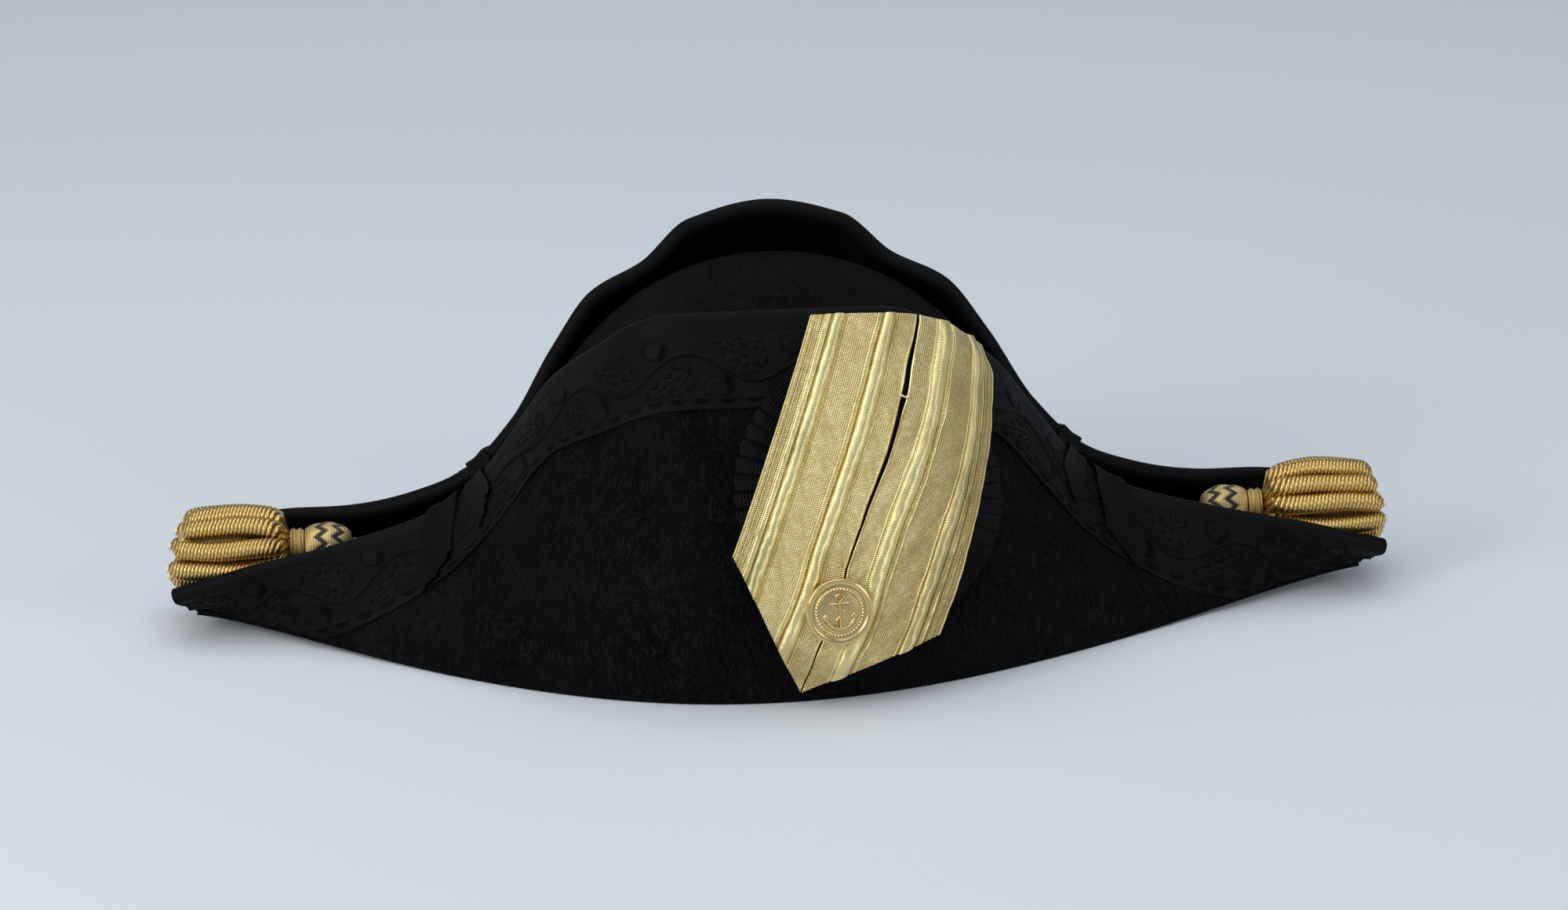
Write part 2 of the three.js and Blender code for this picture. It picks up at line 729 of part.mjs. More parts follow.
function makeBrim() {
  const sides = 40;
  const hole = [crownHalfLength - crownWall, crownHalfWidth - crownWall];
  const ring = (share, z) => range(sides).map((side) => {
    const turn = (2 * Math.PI * (side + 0.5)) / sides;
    const [cos, sin] = [Math.cos(turn), Math.sin(turn)];
    const outX = foldReach * cos;
    const outY = Math.sign(sin) * foldHalfWidth(cos);
    const x = hole[0] * cos * (1 - share) + outX * share;
    const y = hole[1] * sin * (1 - share) + outY * share;
    return new THREE.Vector3(x, y, z + brimRise(x));
  });
  const shares = [0, 0.35, 0.7, 1];
  const upper = shares.map((share) => ring(share, brimThickness));
  const lower = shares.map((share) => ring(share === 1 ? 0.985 : share, 0));
  return loft(upper.concat(lower.reverse()), { closed: true });
}

// ---- Tassels: cord, woven head, collar, core and bullions, along +X ----

const tasselEnd = topReach + tasselEndReach;
const bullionStart = tasselEnd - bullionLength;
const collarStart = bullionStart - seatGap - collarLength;
const headStart = collarStart - seatGap - headLength;
const bullionMiddle = tasselEnd - bullionLength / 2;
const tasselCentreHeight = Math.max(
  edgeHeight(rightFan, bullionMiddle) + tasselAboveEdge,
  brimRise(tasselEnd) + crownFoot + tasselAboveFold + tasselRadius,
);
const cordStart = domeRing(0, cordAnchorHeight)[0].x + cordEndGap;

function alongTassel(profile, sides) {
  const points = profile.map(([radius, along]) => new THREE.Vector2(radius, along));
  return new THREE.LatheGeometry(points, sides)
    .rotateZ(-Math.PI / 2)
    .translate(0, 0, tasselCentreHeight);
}

function makeTasselCord() {
  const end = headStart - seatGap;
  const points = [
    new THREE.Vector3(cordStart, 0, cordAnchorHeight),
    new THREE.Vector3(cordStart + 8, 0, cordAnchorHeight + 0.5),
    new THREE.Vector3(end - 8, 0, tasselCentreHeight - 0.8),
    new THREE.Vector3(end, 0, tasselCentreHeight),
  ];
  return wireAlong(points, 2 * cordRadius, 6, 8);
}

function makeTasselHead() {
  const [r, length] = [headRadius, headLength];
  return alongTassel([
    [0, headStart], [r * 0.45, headStart + length * 0.04], [r * 0.8, headStart + length * 0.22],
    [r, headStart + length * 0.5], [r * 0.95, headStart + length * 0.75],
    [r * 0.72, headStart + length], [0, headStart + length],
  ], 16);
}

function makeTasselCollar() {
  const [r, length] = [headRadius * 0.8, collarLength];
  return alongTassel([
    [0, collarStart], [r * 0.85, collarStart], [r, collarStart + length * 0.25],
    [r * 0.88, collarStart + length * 0.5], [r, collarStart + length * 0.75],
    [r * 0.85, collarStart + length], [0, collarStart + length],
  ], 12);
}

// Distance of the bullions' centre lines from the tassel's axis.
const halfPitch = Math.sin(Math.PI / bullionCount);
const bullionFit = Math.min(
  bullionRadius, (tasselRadius * halfPitch - seatGap / 2) / (1 + halfPitch));
const bullionRing = tasselRadius - bullionFit;
const bullionSpread = throughStations([0, 0.12, 0.35, 0.8, 1], [0.3, 0.5, 0.98, 0.97, 0.84]);

function makeBullion(number) {
  const turn = (2 * Math.PI * (number + 0.5)) / bullionCount;
  const out = new THREE.Vector3(0, Math.cos(turn), Math.sin(turn));
  const side = new THREE.Vector3(0, -Math.sin(turn), Math.cos(turn));
  const loops = [0, 0.12, 0.3, 0.8, 0.95, 1].map((share) => {
    const ring = bullionRing * bullionSpread(share);
    const roundEnd = share > 0.9 ? Math.sqrt(1 - (((share - 0.9) / 0.1) * 0.85) ** 2) : 1;
    const room = ring * halfPitch - seatGap / 2;
    const radius = Math.min(bullionFit, room) * roundEnd;
    const centre = new THREE.Vector3(bullionStart + bullionLength * share, 0, tasselCentreHeight)
      .addScaledVector(out, ring);
    return range(6).map((corner) => {
      const angle = (2 * Math.PI * (corner + 0.5)) / 6;
      return centre.clone()
        .addScaledVector(side, radius * Math.cos(angle))
        .addScaledVector(out, radius * Math.sin(angle));
    });
  });
  return loft(loops);
}

function makeTasselCore() {
  const radius = bullionRing - bullionFit - lapGap;
  const start = bullionStart + bullionLength * 0.34;
  const end = tasselEnd - 4;
  return alongTassel([
    [0, start], [radius * 0.8, start], [radius, start + 4], [radius, end - 4],
    [radius * 0.8, end], [0, end],
  ], 12);
}

function makeTassel(end) {
  const tassel = new THREE.Group();
  tassel.add(
    piece(`${end}_tassel_cord`, makeTasselCord(), gold()),
    piece(`${end}_tassel_head`, makeTasselHead(), gold()),
    piece(`${end}_tassel_collar`, makeTasselCollar(), gold()),
    piece(`${end}_tassel_core`, makeTasselCore(), finish(0x8a6a30, 0.8)),
  );
  for (const number of range(bullionCount)) {
    tassel.add(piece(`${end}_bullion_${number + 1}`, makeBullion(number), gold()));
  }
  return tassel;
}

// ---- The hat ----

const hat = new THREE.Group();
const eyelet = makeEyeletCutter();

hat.add(
  piece('under_brim', makeBrim(), plush()),
  piece('crown_shell', domeShell(0, crownWall, crownFoot), plush()),
  piece('right_fan', cutBy(makeFanPanel(rightFan), eyelet), plush()),
  piece('left_fan', makeFanPanel(leftFan), plush()),
  piece('right_fan_wire', makeEdgeWire(rightFan), steel()),
  piece('left_fan_wire', makeEdgeWire(leftFan), steel()),
  piece('right_fan_lace', makeFanLace(rightFan), silk()),
  piece('left_fan_lace', makeFanLace(leftFan), silk()),
);

for (const [end, side] of [['front', 1], ['rear', -1]]) {
  const bandAt = side * (tieAt + 1);
  const tailAt = bandAt + side * ((tieBandWidth + tieTailWidth) / 2 + softGap);
  hat.add(
    piece(`${end}_tie_band`, makeTie(bandAt, tieBandWidth, true, tieLift), silk()),
    piece(`${end}_tie_tail`, makeTie(tailAt, tieTailWidth, false, tieLift), silk()),
  );
}

hat.add(
  piece('cockade_backing', cutBy(makeCockadeBacking(), eyelet), buckram()),
  piece('cockade', cutBy(makeCockade(), eyelet), silk()),
  piece('loop_backing', cutBy(makeLoopBacking(), eyelet), buckram()),
  piece('loop_rear_leg', cutBy(makeLoopLeg(-1), eyelet), gold()),
  piece('loop_front_leg', cutBy(makeLoopLeg(1), eyelet), gold()),
);

buttonPlace.add(
  piece('button_shell', makeButtonShell(), gilt()),
  piece('button_back', makeButtonBack(), gilt()),
  piece('button_shank', makeButtonShank(), gilt()),
  piece('button_ring', makeButtonRing(), gilt()),
);
hat.add(buttonPlace);

hat.add(
  piece('lining_side',
    domeBand(liningInset, liningThickness, bandFootHeight + reedHeight + seatGap, liningJoinHeight),
    satin()),
  piece('lining_tip', domeShell(liningInset, liningThickness, liningJoinHeight + seatGap), satin()),
  piece('sweatband', domeBand(bandInset, bandThickness, bandFootHeight, bandHeight), leather()),
  piece('sweatband_reed',
    domeBand(liningInset, liningThickness, bandFootHeight, bandFootHeight + reedHeight),
    leather()),
);

const rearTassel = makeTassel('rear');
rearTassel.rotation.z = Math.PI;
hat.add(makeTassel('front'), rearTassel);

// The origin is the middle of the whole hat's box, on the brim's underside.
const extent = new THREE.Box3().setFromObject(hat, true);
const middle = extent.getCenter(new THREE.Vector3());
hat.position.set(-middle.x, -middle.y, -extent.min.z);

export default hat;
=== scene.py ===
import json
import math

import bpy
import numpy as np
from mathutils import Matrix, Vector


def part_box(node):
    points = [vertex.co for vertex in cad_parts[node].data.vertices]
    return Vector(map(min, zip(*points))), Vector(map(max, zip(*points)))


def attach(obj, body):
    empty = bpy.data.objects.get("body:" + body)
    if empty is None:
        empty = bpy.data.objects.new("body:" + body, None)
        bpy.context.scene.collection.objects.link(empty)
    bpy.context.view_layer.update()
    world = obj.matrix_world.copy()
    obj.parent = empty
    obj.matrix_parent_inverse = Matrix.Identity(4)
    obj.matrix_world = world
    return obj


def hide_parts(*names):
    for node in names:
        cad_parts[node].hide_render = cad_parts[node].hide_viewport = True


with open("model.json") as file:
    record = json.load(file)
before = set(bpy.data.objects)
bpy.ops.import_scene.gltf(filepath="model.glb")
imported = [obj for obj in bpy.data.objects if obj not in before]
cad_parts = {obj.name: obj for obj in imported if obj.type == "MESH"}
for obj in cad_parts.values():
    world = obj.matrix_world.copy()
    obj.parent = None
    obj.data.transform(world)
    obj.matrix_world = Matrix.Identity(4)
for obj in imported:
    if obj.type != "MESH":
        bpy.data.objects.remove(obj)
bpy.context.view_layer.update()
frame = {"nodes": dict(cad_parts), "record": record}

# the hat's own sizes in metres, as the CAD bodies have them
hat = {
    "crownHalfLength": 0.098,
    "crownHalfWidth": 0.080,
    "crownHeight": 0.128,
    "crownRoundness": 2.1,
    "crownWall": 0.0025,
    "brimLedge": 0.012,
    "brimThickness": 0.003,
    "foldFullness": 1.56,
    "rearFullness": 0.038,
    "tipHalfWidth": 0.005,
    "tipRise": 0.0055,
    "flatShare": 0.5,
    "fanThickness": 0.0028,
    "tieBeyondCrown": 0.011,
    "peakLength": 0.104,
    "tipOverhang": 0.006,
    "rightFanDrop": 0.0045,
    "leftFanStand": 0.011,
    "tasselRadius": 0.0156,
    "seatGap": 0.0003,
}
brimHalfWidth = hat["crownHalfWidth"] + hat["brimLedge"]
tieAt = hat["crownHalfLength"] + hat["tieBeyondCrown"]
topReach = tieAt + hat["peakLength"]
foldReach = topReach - hat["tipOverhang"]
channelHalfWidth = hat["tasselRadius"] + 0.0045
crownFoot = hat["brimThickness"] + hat["seatGap"]
crownLow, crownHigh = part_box("crown_shell")
middleY = (crownLow.y + crownHigh.y) / 2  # the crown sits a little behind the middle of the box


def clamp(values):
    return np.clip(values, 0, 1)


# 1 on a line, falling to 0 at a set distance from it
def fade(distance, soft):
    return clamp(1 - np.abs(distance) / soft)


# a smooth rise through stations that never overshoots them
def throughStations(places, values):
    places = np.array(places, float)
    values = np.array(values, float)
    steps = np.diff(places)
    slopes = np.diff(values) / steps
    tangents = np.zeros(len(places))
    for i in range(1, len(places) - 1):
        before, after = slopes[i - 1], slopes[i]
        tangents[i] = 0 if before * after <= 0 else 2 * before * after / (before + after)
    tangents[-1] = slopes[-1]

    def curve(place):
        place = np.asarray(place, float)
        i = np.clip(np.searchsorted(places, place, side="right") - 1, 0, len(steps) - 1)
        u = (place - places[i]) / steps[i]
        level = values[i] * (1 + 2 * u) * (1 - u) ** 2 + values[i + 1] * u * u * (3 - 2 * u)
        return level + steps[i] * u * (1 - u) * (tangents[i] * (1 - u) - tangents[i + 1] * u)

    return curve


# stations of a fan's top edge, from the middle (0) past the tie (1) to the tip (2):
# place, share of the brim's width, share of the peak's, share of the height, belly
def makeFan(side, height, stations):
    columns = list(zip(*stations))
    curves = [throughStations(columns[0], column) for column in columns[1:]]
    return {"side": side, "height": height, "brim": curves[0], "peak": curves[1], "rise": curves[2],
            "belly": curves[3]}


rightFan = makeFan(-1, hat["crownHeight"] - hat["rightFanDrop"], [
    (0, 0.554, 0, 1, 0.45),
    (0.25, 0.55, 0, 0.999, 0.45),
    (0.36, 0.53, 0, 0.99, 0.47),
    (0.46, 0.476, 0, 0.952, 0.5),
    (0.55, 0.38, 0, 0.882, 0.54),
    (0.64, 0.24, 0.11, 0.805, 0.6),
    (0.716, 0.12, 0.26, 0.732, 0.64),
    (0.844, 0, 0.5, 0.563, 0.68),
    (1, 0, 0.42, 0.393, 0.6),
    (1.163, 0, 0.58, 0.32, 0.5),
    (1.394, 0, 0.9, 0.271, 0.45),
    (1.567, 0, 0.98, 0.231, 0.45),
    (1.779, 0, 0.98, 0.182, 0.45),
    (2, 0, 0.74, 0.117, 0.5),
])
leftFan = makeFan(1, hat["crownHeight"] + hat["leftFanStand"], [
    (0, 0.326, 0, 1, 0.58),
    (0.248, 0.32, 0, 0.957, 0.58),
    (0.404, 0.272, 0, 0.86, 0.6),
    (0.57, 0.19, 0, 0.806, 0.62),
    (0.7, 0.08, 0.29, 0.675, 0.58),
    (0.844, 0, 0.56, 0.489, 0.56),
    (1, 0, 0.45, 0.367, 0.6),
    (1.163, 0, 0.58, 0.306, 0.5),
    (1.394, 0, 0.95, 0.245, 0.45),
    (1.663, 0, 1.04, 0.22, 0.45),
    (1.85, 0, 1.02, 0.17, 0.45),
    (2, 0, 0.76, 0.108, 0.5),
])


def placeAlong(x):
    distance = np.abs(x)
    return np.where(distance < tieAt, distance / tieAt, 1 + (distance - tieAt) / hat["peakLength"])


def foldHalfWidth(share):
    skewed = share + hat["rearFullness"] * (1 - share * share)
    fullness = np.maximum(0, 1 - skewed * skewed) ** hat["foldFullness"]
    return hat["tipHalfWidth"] + (brimHalfWidth - hat["tipHalfWidth"]) * fullness


def brimRise(x):
    past = np.maximum(0, np.abs(x) / foldReach - hat["flatShare"]) / (1 - hat["flatShare"])
    return hat["tipRise"] * past * past


def unit(vectors):
    return vectors / np.maximum(np.linalg.norm(vectors, axis=-1, keepdims=True), 1e-12)


# a point of a fan's outer face: x along the top edge, t from the fold (0) to the edge (1)
def fanFace(fan, x, t):
    x, t = np.broadcast_arrays(np.asarray(x, float), np.asarray(t, float))
    place = np.clip(placeAlong(x), 0, 2)
    foldX = x * foldReach / topReach
    foldY = foldHalfWidth(np.clip(x / topReach, -1, 1))
    foldZ = brimRise(foldX) + crownFoot
    edgeY = fan["brim"](place) * brimHalfWidth + fan["peak"](place) * channelHalfWidth
    edgeZ = fan["rise"](place) * fan["height"]
    spread = clamp(place - 1) / 2
    bellyY = foldY * (1 - spread) + edgeY * spread
    bellyZ = foldZ + (edgeZ - foldZ) * fan["belly"](place)
    low, middle, high = (1 - t) ** 2, 2 * t * (1 - t), t * t
    return np.stack([
        foldX + (x - foldX) * t,
        middleY + fan["side"] * (low * foldY + middle * bellyY + high * edgeY),
        low * foldZ + middle * bellyZ + high * edgeZ,
    ], axis=-1)


def fanFrame(fan, x, t):
    step = 0.0005
    along = (fanFace(fan, x + step, t) - fanFace(fan, x - step, t)) / (2 * step)
    up = (fanFace(fan, x, t + 0.01) - fanFace(fan, x, t - 0.01)) / 0.02
    return along, up, unit(np.cross(along, up) * -fan["side"])


# the same point lifted off the face; past the fold the cloth rolls under the brim
def onFace(fan, x, t, lift, under=0.0):
    x, t, lift, under = np.broadcast_arrays(x, t, lift, under)
    out = fanFrame(fan, x, t)[2]
    level = out * (1, 1, 0)
    blend = clamp(1 - t / 0.04)[..., None]
    out = unit(out * (1 - blend) + unit(level) * blend)
    roll = hat["brimThickness"]
    turn = np.minimum(under / (roll + np.maximum(lift, 0)), math.pi / 2)
    flat = under - turn * (roll + np.maximum(lift, 0))
    base = fanFace(fan, x, t)
    rolled = out * (np.cos(turn) * (roll + lift) - roll - flat)[..., None]
    rolled[..., 2] -= np.sin(turn) * (roll + lift)
    return np.where((under > 0)[..., None], base + rolled, base + out * lift[..., None])


# the change in a fan's x and t on a step of a set length in a direction along its face
def surfaceStep(along, up, direction, step):
    aa, au, uu = (along * along).sum(-1), (along * up).sum(-1), (up * up).sum(-1)
    da, du = (direction * along).sum(-1), (direction * up).sum(-1)
    share = step / (aa * uu - au * au)
    return (da * uu - du * au) * share, (du * aa - da * au) * share


# a dense table of places on a fan at set distances from its top edge, square to the edge
def bandTable(fan, width, columns=900, rows=64):
    edges = np.linspace(-topReach, topReach, columns)
    reach = 0.016
    before = fanFace(fan, np.maximum(-topReach, edges - reach), 1.0)
    edge = unit(fanFace(fan, np.minimum(topReach, edges + reach), 1.0) - before)
    x, t, under = edges.copy(), np.ones(columns), np.zeros(columns)
    table = [(x.copy(), t.copy(), under.copy())]
    step = width / rows
    for row in range(rows):
        along, up, out = fanFrame(fan, x, t)
        down = unit(np.cross(out, edge) * fan["side"])
        dx, dt = surfaceStep(along, up, down, step)
        inside = t + dt > 0.0
        x = np.clip(np.where(inside, x + dx, x), -topReach, topReach)
        under = np.where(inside, under, under + step)
        t = np.where(inside, t + dt, 0.0)
        table.append((x.copy(), t.copy(), under.copy()))
    xs, ts, unders = (np.array(part).T for part in zip(*table))
    middle = onFace(fan, xs[:, rows // 2], ts[:, rows // 2], 0.0)
    lengths = np.concatenate([[0], np.cumsum(np.linalg.norm(np.diff(middle, axis=0), axis=-1))])
    return {"fan": fan, "width": width, "edges": edges, "x": xs, "t": ts, "under": unders,
            "along": lengths - lengths[-1] / 2, "length": lengths[-1]}


def sampleTable(grid, column, row):
    i = np.clip(column.astype(int), 0, grid.shape[0] - 2)
    j = np.clip(row.astype(int), 0, grid.shape[1] - 2)
    a, b = column - i, row - j
    return ((grid[i, j] * (1 - a) + grid[i + 1, j] * a) * (1 - b)
            + (grid[i, j + 1] * (1 - a) + grid[i + 1, j + 1] * a) * b)


# lays flat cloth on a fan: along the band's middle line, down from the edge, height off the face;
# above the edge (down under 0) the cloth turns over the edge wire and goes down the inner face
edgeRoll = {"stand": 0.0013, "thickness": 0.001, "innerGap": 0.0013}


def onBand(table, along, down, height):
    fan = table["fan"]
    column = np.interp(along, table["along"], np.arange(len(table["edges"])))
    row = np.clip(down, 0, table["width"]) / table["width"] * (table["x"].shape[1] - 1)
    x = sampleTable(table["x"], column, row)
    t = sampleTable(table["t"], column, row)
    under = sampleTable(table["under"], column, row)
    points = onFace(fan, x, t, height, under)
    over = down < 0
    if over.any():
        edgeX = np.interp(column[over], np.arange(len(table["edges"])), table["edges"])
        up, out = fanFrame(fan, edgeX, np.ones_like(edgeX))[1:]
        up = unit(up)
        edge = fanFace(fan, edgeX, np.ones_like(edgeX))
        half = (hat["fanThickness"] + edgeRoll["innerGap"]) / 2
        passed = -down[over]
        rise = np.minimum(passed, edgeRoll["stand"])
        turn = np.clip((passed - edgeRoll["stand"]) / aroundWire, 0, math.pi)
        fall = np.maximum(0, passed - edgeRoll["stand"] - math.pi * aroundWire)
        radius = half + height[over]
        points[over] = (edge + up * (rise + np.sin(turn) * radius - fall)[:, None]
                        + out * (np.cos(turn) * radius - half)[:, None])
    return points


aroundWire = (hat["fanThickness"] + edgeRoll["innerGap"]) / 2 + edgeRoll["thickness"]
overEdge = edgeRoll["stand"] + math.pi * aroundWire
overTop = edgeRoll["stand"] + math.pi / 2 * aroundWire


# straight walks over the right fan's face, which lay a strip or a disc on it
def shareUp(x, up):
    shares = np.linspace(0, 1, 60)
    line = fanFace(rightFan, x, shares)
    lengths = np.concatenate([[0], np.cumsum(np.linalg.norm(np.diff(line, axis=0), axis=1))])
    return float(np.interp(up, lengths, shares))


def paceOnFan(x, t, heading, pace):
    along, up, out = fanFrame(rightFan, x, t)
    heading = unit(heading - out * (heading * out).sum(-1, keepdims=True))
    dx, dt = surfaceStep(along, up, heading, pace)
    return x + dx, t + dt, heading


# the places passed on a walk straight ahead, one for each pace
def walkPlaces(x, t, heading, pace, paces):
    places = [(x, t, heading)]
    for _ in range(paces):
        places.append(paceOnFan(*places[-1], pace))
    return [np.stack(part) for part in zip(*places)]


def startWalk(x, up, lean):
    t = shareUp(x, up)
    along, _, out = fanFrame(rightFan, x, t)
    forward = unit(along)
    lean = np.asarray(lean, float)[..., None]
    heading = np.cross(out, forward) * np.cos(lean) + forward * np.sin(lean)
    shape = heading.shape[:-1]
    return np.full(shape, float(x)), np.full(shape, t), heading


def deselectAll():
    bpy.ops.object.select_all(action="DESELECT")


def makeActive(piece):
    deselectAll()
    piece.select_set(True)
    bpy.context.view_layer.objects.active = piece


# a flat grid with its corners at 0 and 1, bent to shape by a function of both
def addCloth(name, columns, rows, shape, size=None):
    deselectAll()
    bpy.ops.mesh.primitive_grid_add(
        x_subdivisions=columns, y_subdivisions=rows, size=1, location=(0.5, 0.5, 0))
    piece = bpy.context.active_object
    piece.name = name
    piece.data.name = name
    bpy.ops.object.transform_apply(location=True, rotation=False, scale=False)
    bend(piece, lambda points: shape(points[:, 0], points[:, 1]))
    if size:
        stretchUv(piece, size)
    return piece


def readPoints(piece):
    points = np.empty(len(piece.data.vertices) * 3, np.float32)
    piece.data.vertices.foreach_get("co", points)
    return points.reshape(-1, 3).astype(float)


def bend(piece, shape):
    points = np.asarray(shape(readPoints(piece)), np.float32)
    piece.data.vertices.foreach_set("co", points.ravel())
    piece.data.update()


def stretchUv(piece, size):
    layer = piece.data.uv_layers.active.data
    values = np.empty(len(layer) * 2, np.float32)
    layer.foreach_get("uv", values)
    layer.foreach_set("uv", (values.reshape(-1, 2) * size).astype(np.float32).ravel())


def applyModifier(piece, kind, **settings):
    makeActive(piece)
    modifier = piece.modifiers.new(kind.lower(), kind)
    for setting, value in settings.items():
        setattr(modifier, setting, value)
    bpy.ops.object.modifier_apply(modifier=modifier.name)


def thicken(piece, thickness, offset=-1.0):
    applyModifier(piece, "SOLIDIFY", thickness=thickness, offset=offset, use_even_offset=False)


def editAll(piece, *steps):
    makeActive(piece)
    bpy.ops.object.mode_set(mode="EDIT")
    bpy.ops.mesh.select_all(action="SELECT")
    for step in steps:
        step()
    bpy.ops.object.mode_set(mode="OBJECT")


def mergeDoubles():
    bpy.ops.mesh.remove_doubles(threshold=0.00001)


def facesOut():
    bpy.ops.mesh.normals_make_consistent(inside=False)


def flipFaces():
    bpy.ops.mesh.flip_normals()


def closeEnds(piece):
    makeActive(piece)
    bpy.ops.object.mode_set(mode="EDIT")
    bpy.ops.mesh.select_mode(type="VERT")
    bpy.ops.mesh.select_all(action="DESELECT")
    bpy.ops.mesh.select_non_manifold()
    bpy.ops.mesh.edge_face_add()
    bpy.ops.mesh.select_all(action="SELECT")
    bpy.ops.mesh.normals_make_consistent(inside=False)
    bpy.ops.object.mode_set(mode="OBJECT")


def smoothShading(piece, angle=50):
    makeActive(piece)
    bpy.ops.object.shade_smooth_by_angle(angle=math.radians(angle))


# a bent grid becomes cloth of real thickness, after the edits that merge or turn it
def giveBody(piece, thickness, *edits, angle=50, offset=-1.0):
    if edits:
        editAll(piece, *edits)
    thicken(piece, thickness, offset)
    smoothShading(piece, angle)


# a piece that closes on itself all round: merged, turned outward, its ends filled
def sealTube(piece, angle=60):
    editAll(piece, mergeDoubles, facesOut)
    closeEnds(piece)
    smoothShading(piece, angle)


# the grid of a disc or a dome, merged where it meets itself
def sealDisc(piece, fan, thickness):
    editAll(piece, mergeDoubles, facesOut)
    flipIfInward(piece, fan)
    thicken(piece, thickness)


# the left fan's grid runs the same way as the right one's, so its faces are turned over
def leftTurned(fan):
    return [flipFaces] if fan["side"] > 0 else []


def flipIfInward(piece, fan):
    middle = np.array(piece.data.polygons[len(piece.data.polygons) // 2].normal)
    if middle[1] * fan["side"] < 0:
        editAll(piece, flipFaces)


# values for the materials to read, one for each point or one for all of them
def storeMasks(piece, **masks):
    for name, values in masks.items():
        layer = piece.data.attributes.new(name, "FLOAT", "POINT")
        values = np.broadcast_to(np.asarray(values, np.float32), len(piece.data.vertices))
        layer.data.foreach_set("value", np.ascontiguousarray(values))


def recolour(material, *nodes):
    for node in nodes:
        part = frame["nodes"][node]
        part.data.materials.clear()
        part.data.materials.append(material)


def finishPiece(piece, material, body, slot, *nodes):
    piece.data.materials.clear()
    piece.data.materials.append(material)
    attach(piece, body)
    if nodes:
        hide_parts(*nodes)
    return piece


print("camera and studio")
studio = {
    "aim": (0.0, 0.0, 0.05),
    "distance": 1.8,
    "turn": 1.5,
    "height": 21.1,
    "roll": -1.84,
    "sensor": 36,
    "focal": 116.788394,
    "shift": (0.00555278, 0.00905453),
    "floorTone": (0.74, 0.77, 0.80),
    "floorSize": 12.0,
    "floorDrop": 0.0002,
    "skyTone": (0.72, 0.83, 0.95, 1),
    "skyStrength": 0.38,
}
# name, place, aim, size, power and colour
lights = [
    ("topSoft", (-0.1, 0.05, 1.6), (0, 0.02, 0), (1.9, 1.8), 13, (0.95, 0.98, 1)),
    ("leftSoft", (-1.2, -0.9, 0.85), (0, 0, 0.05), (0.9, 0.9), 10.5, (1, 0.99, 0.97)),
    ("rightSoft", (1.15, -0.85, 0.55), (0.12, 0, 0.04), (0.6, 0.6), 3.6, (0.97, 0.98, 1)),
]


def addToScene(name, data):
    thing = bpy.data.objects.new(name, data)
    bpy.context.collection.objects.link(thing)
    return thing


def addCamera():
    turn, height, roll = (math.radians(studio[key]) for key in ("turn", "height", "roll"))
    level = math.cos(height)
    forward = np.array([math.sin(turn) * level, math.cos(turn) * level, -math.sin(height)])
    right = np.array([math.cos(turn), -math.sin(turn), 0])
    up = np.cross(right, forward)
    tilted = right * math.cos(roll) + up * math.sin(roll)
    upright = -right * math.sin(roll) + up * math.cos(roll)
    place = np.array(studio["aim"]) + (0, middleY, 0) - forward * studio["distance"]
    data = bpy.data.cameras.new("camera")
    camera = addToScene("camera", data)
    rows = [(tilted[i], upright[i], -forward[i], place[i]) for i in range(3)]
    camera.matrix_world = Matrix((*rows, (0, 0, 0, 1)))
    data.lens = studio["focal"]
    data.sensor_width = studio["sensor"]
    data.clip_end = 50
    data.shift_x, data.shift_y = studio["shift"]
    bpy.context.scene.camera = camera


def newMaterial(name, roughness=0.8, **values):
    material = bpy.data.materials.new(name)
    material.use_nodes = True
    shader = material.node_tree.nodes["Principled BSDF"]
    shader.inputs["Roughness"].default_value = roughness
    for socket, value in values.items():
        shader.inputs[socket.replace("_", " ")].default_value = value
    return material, material.node_tree, shader


def addFloor():
    half = studio["floorSize"] / 2
    floor = addCloth("floor", 24, 24, lambda u, v: np.stack(
        [(u * 2 - 1) * half, (v * 2 - 1) * half, u * 0 - studio["floorDrop"]], -1))
    floor.data.materials.append(newMaterial("palePaper", 0.9, Base_Color=(*studio["floorTone"], 1))[0])


def addLight(name, place, aim, size, power, colour):
    data = bpy.data.lights.new(name, "AREA")
    data.shape = "RECTANGLE"
    data.size, data.size_y = size
    data.energy = power
    data.color = colour
    light = addToScene(name, data)
    light.location = place
    light.rotation_euler = (Vector(aim) - Vector(place)).to_track_quat("-Z", "Y").to_euler()


def addSky():
    scene = bpy.context.scene
    scene.view_settings.view_transform = "Standard"
    if scene.world is None:
        scene.world = bpy.data.worlds.new("world")
    scene.world.use_nodes = True
    sky = scene.world.node_tree.nodes["Background"].inputs
    sky["Color"].default_value = studio["skyTone"]
    sky["Strength"].default_value = studio["skyStrength"]


addCamera()
addFloor()
for light in lights:
    addLight(*light)
addSky()


def feed(tree, socket, value):
    if isinstance(value, bpy.types.NodeSocket):
        tree.links.new(value, socket)
    else:
        socket.default_value = value


def addNode(tree, kind, inputs=None, **settings):
    node = tree.nodes.new(kind)
    for setting, value in settings.items():
        setattr(node, setting, value)
    for socket, value in (inputs or {}).items():
        feed(tree, node.inputs[socket], value)
    return node


def addMath(tree, operation, first, second=0.0, clamp=False):
    node = addNode(tree, "ShaderNodeMath", {0: first, 1: second}, operation=operation, use_clamp=clamp)
    return node.outputs[0]


def opaque(colour):
    return colour if isinstance(colour, bpy.types.NodeSocket) else (*colour, 1)


def mixColours(tree, share, first, second):
    inputs = {0: share, 6: opaque(first), 7: opaque(second)}
    return addNode(tree, "ShaderNodeMix", inputs, data_type="RGBA").outputs[2]


def mixFloat(tree, share, first, second):
    return addNode(tree, "ShaderNodeMix", {0: share, 2: first, 3: second}).outputs[0]


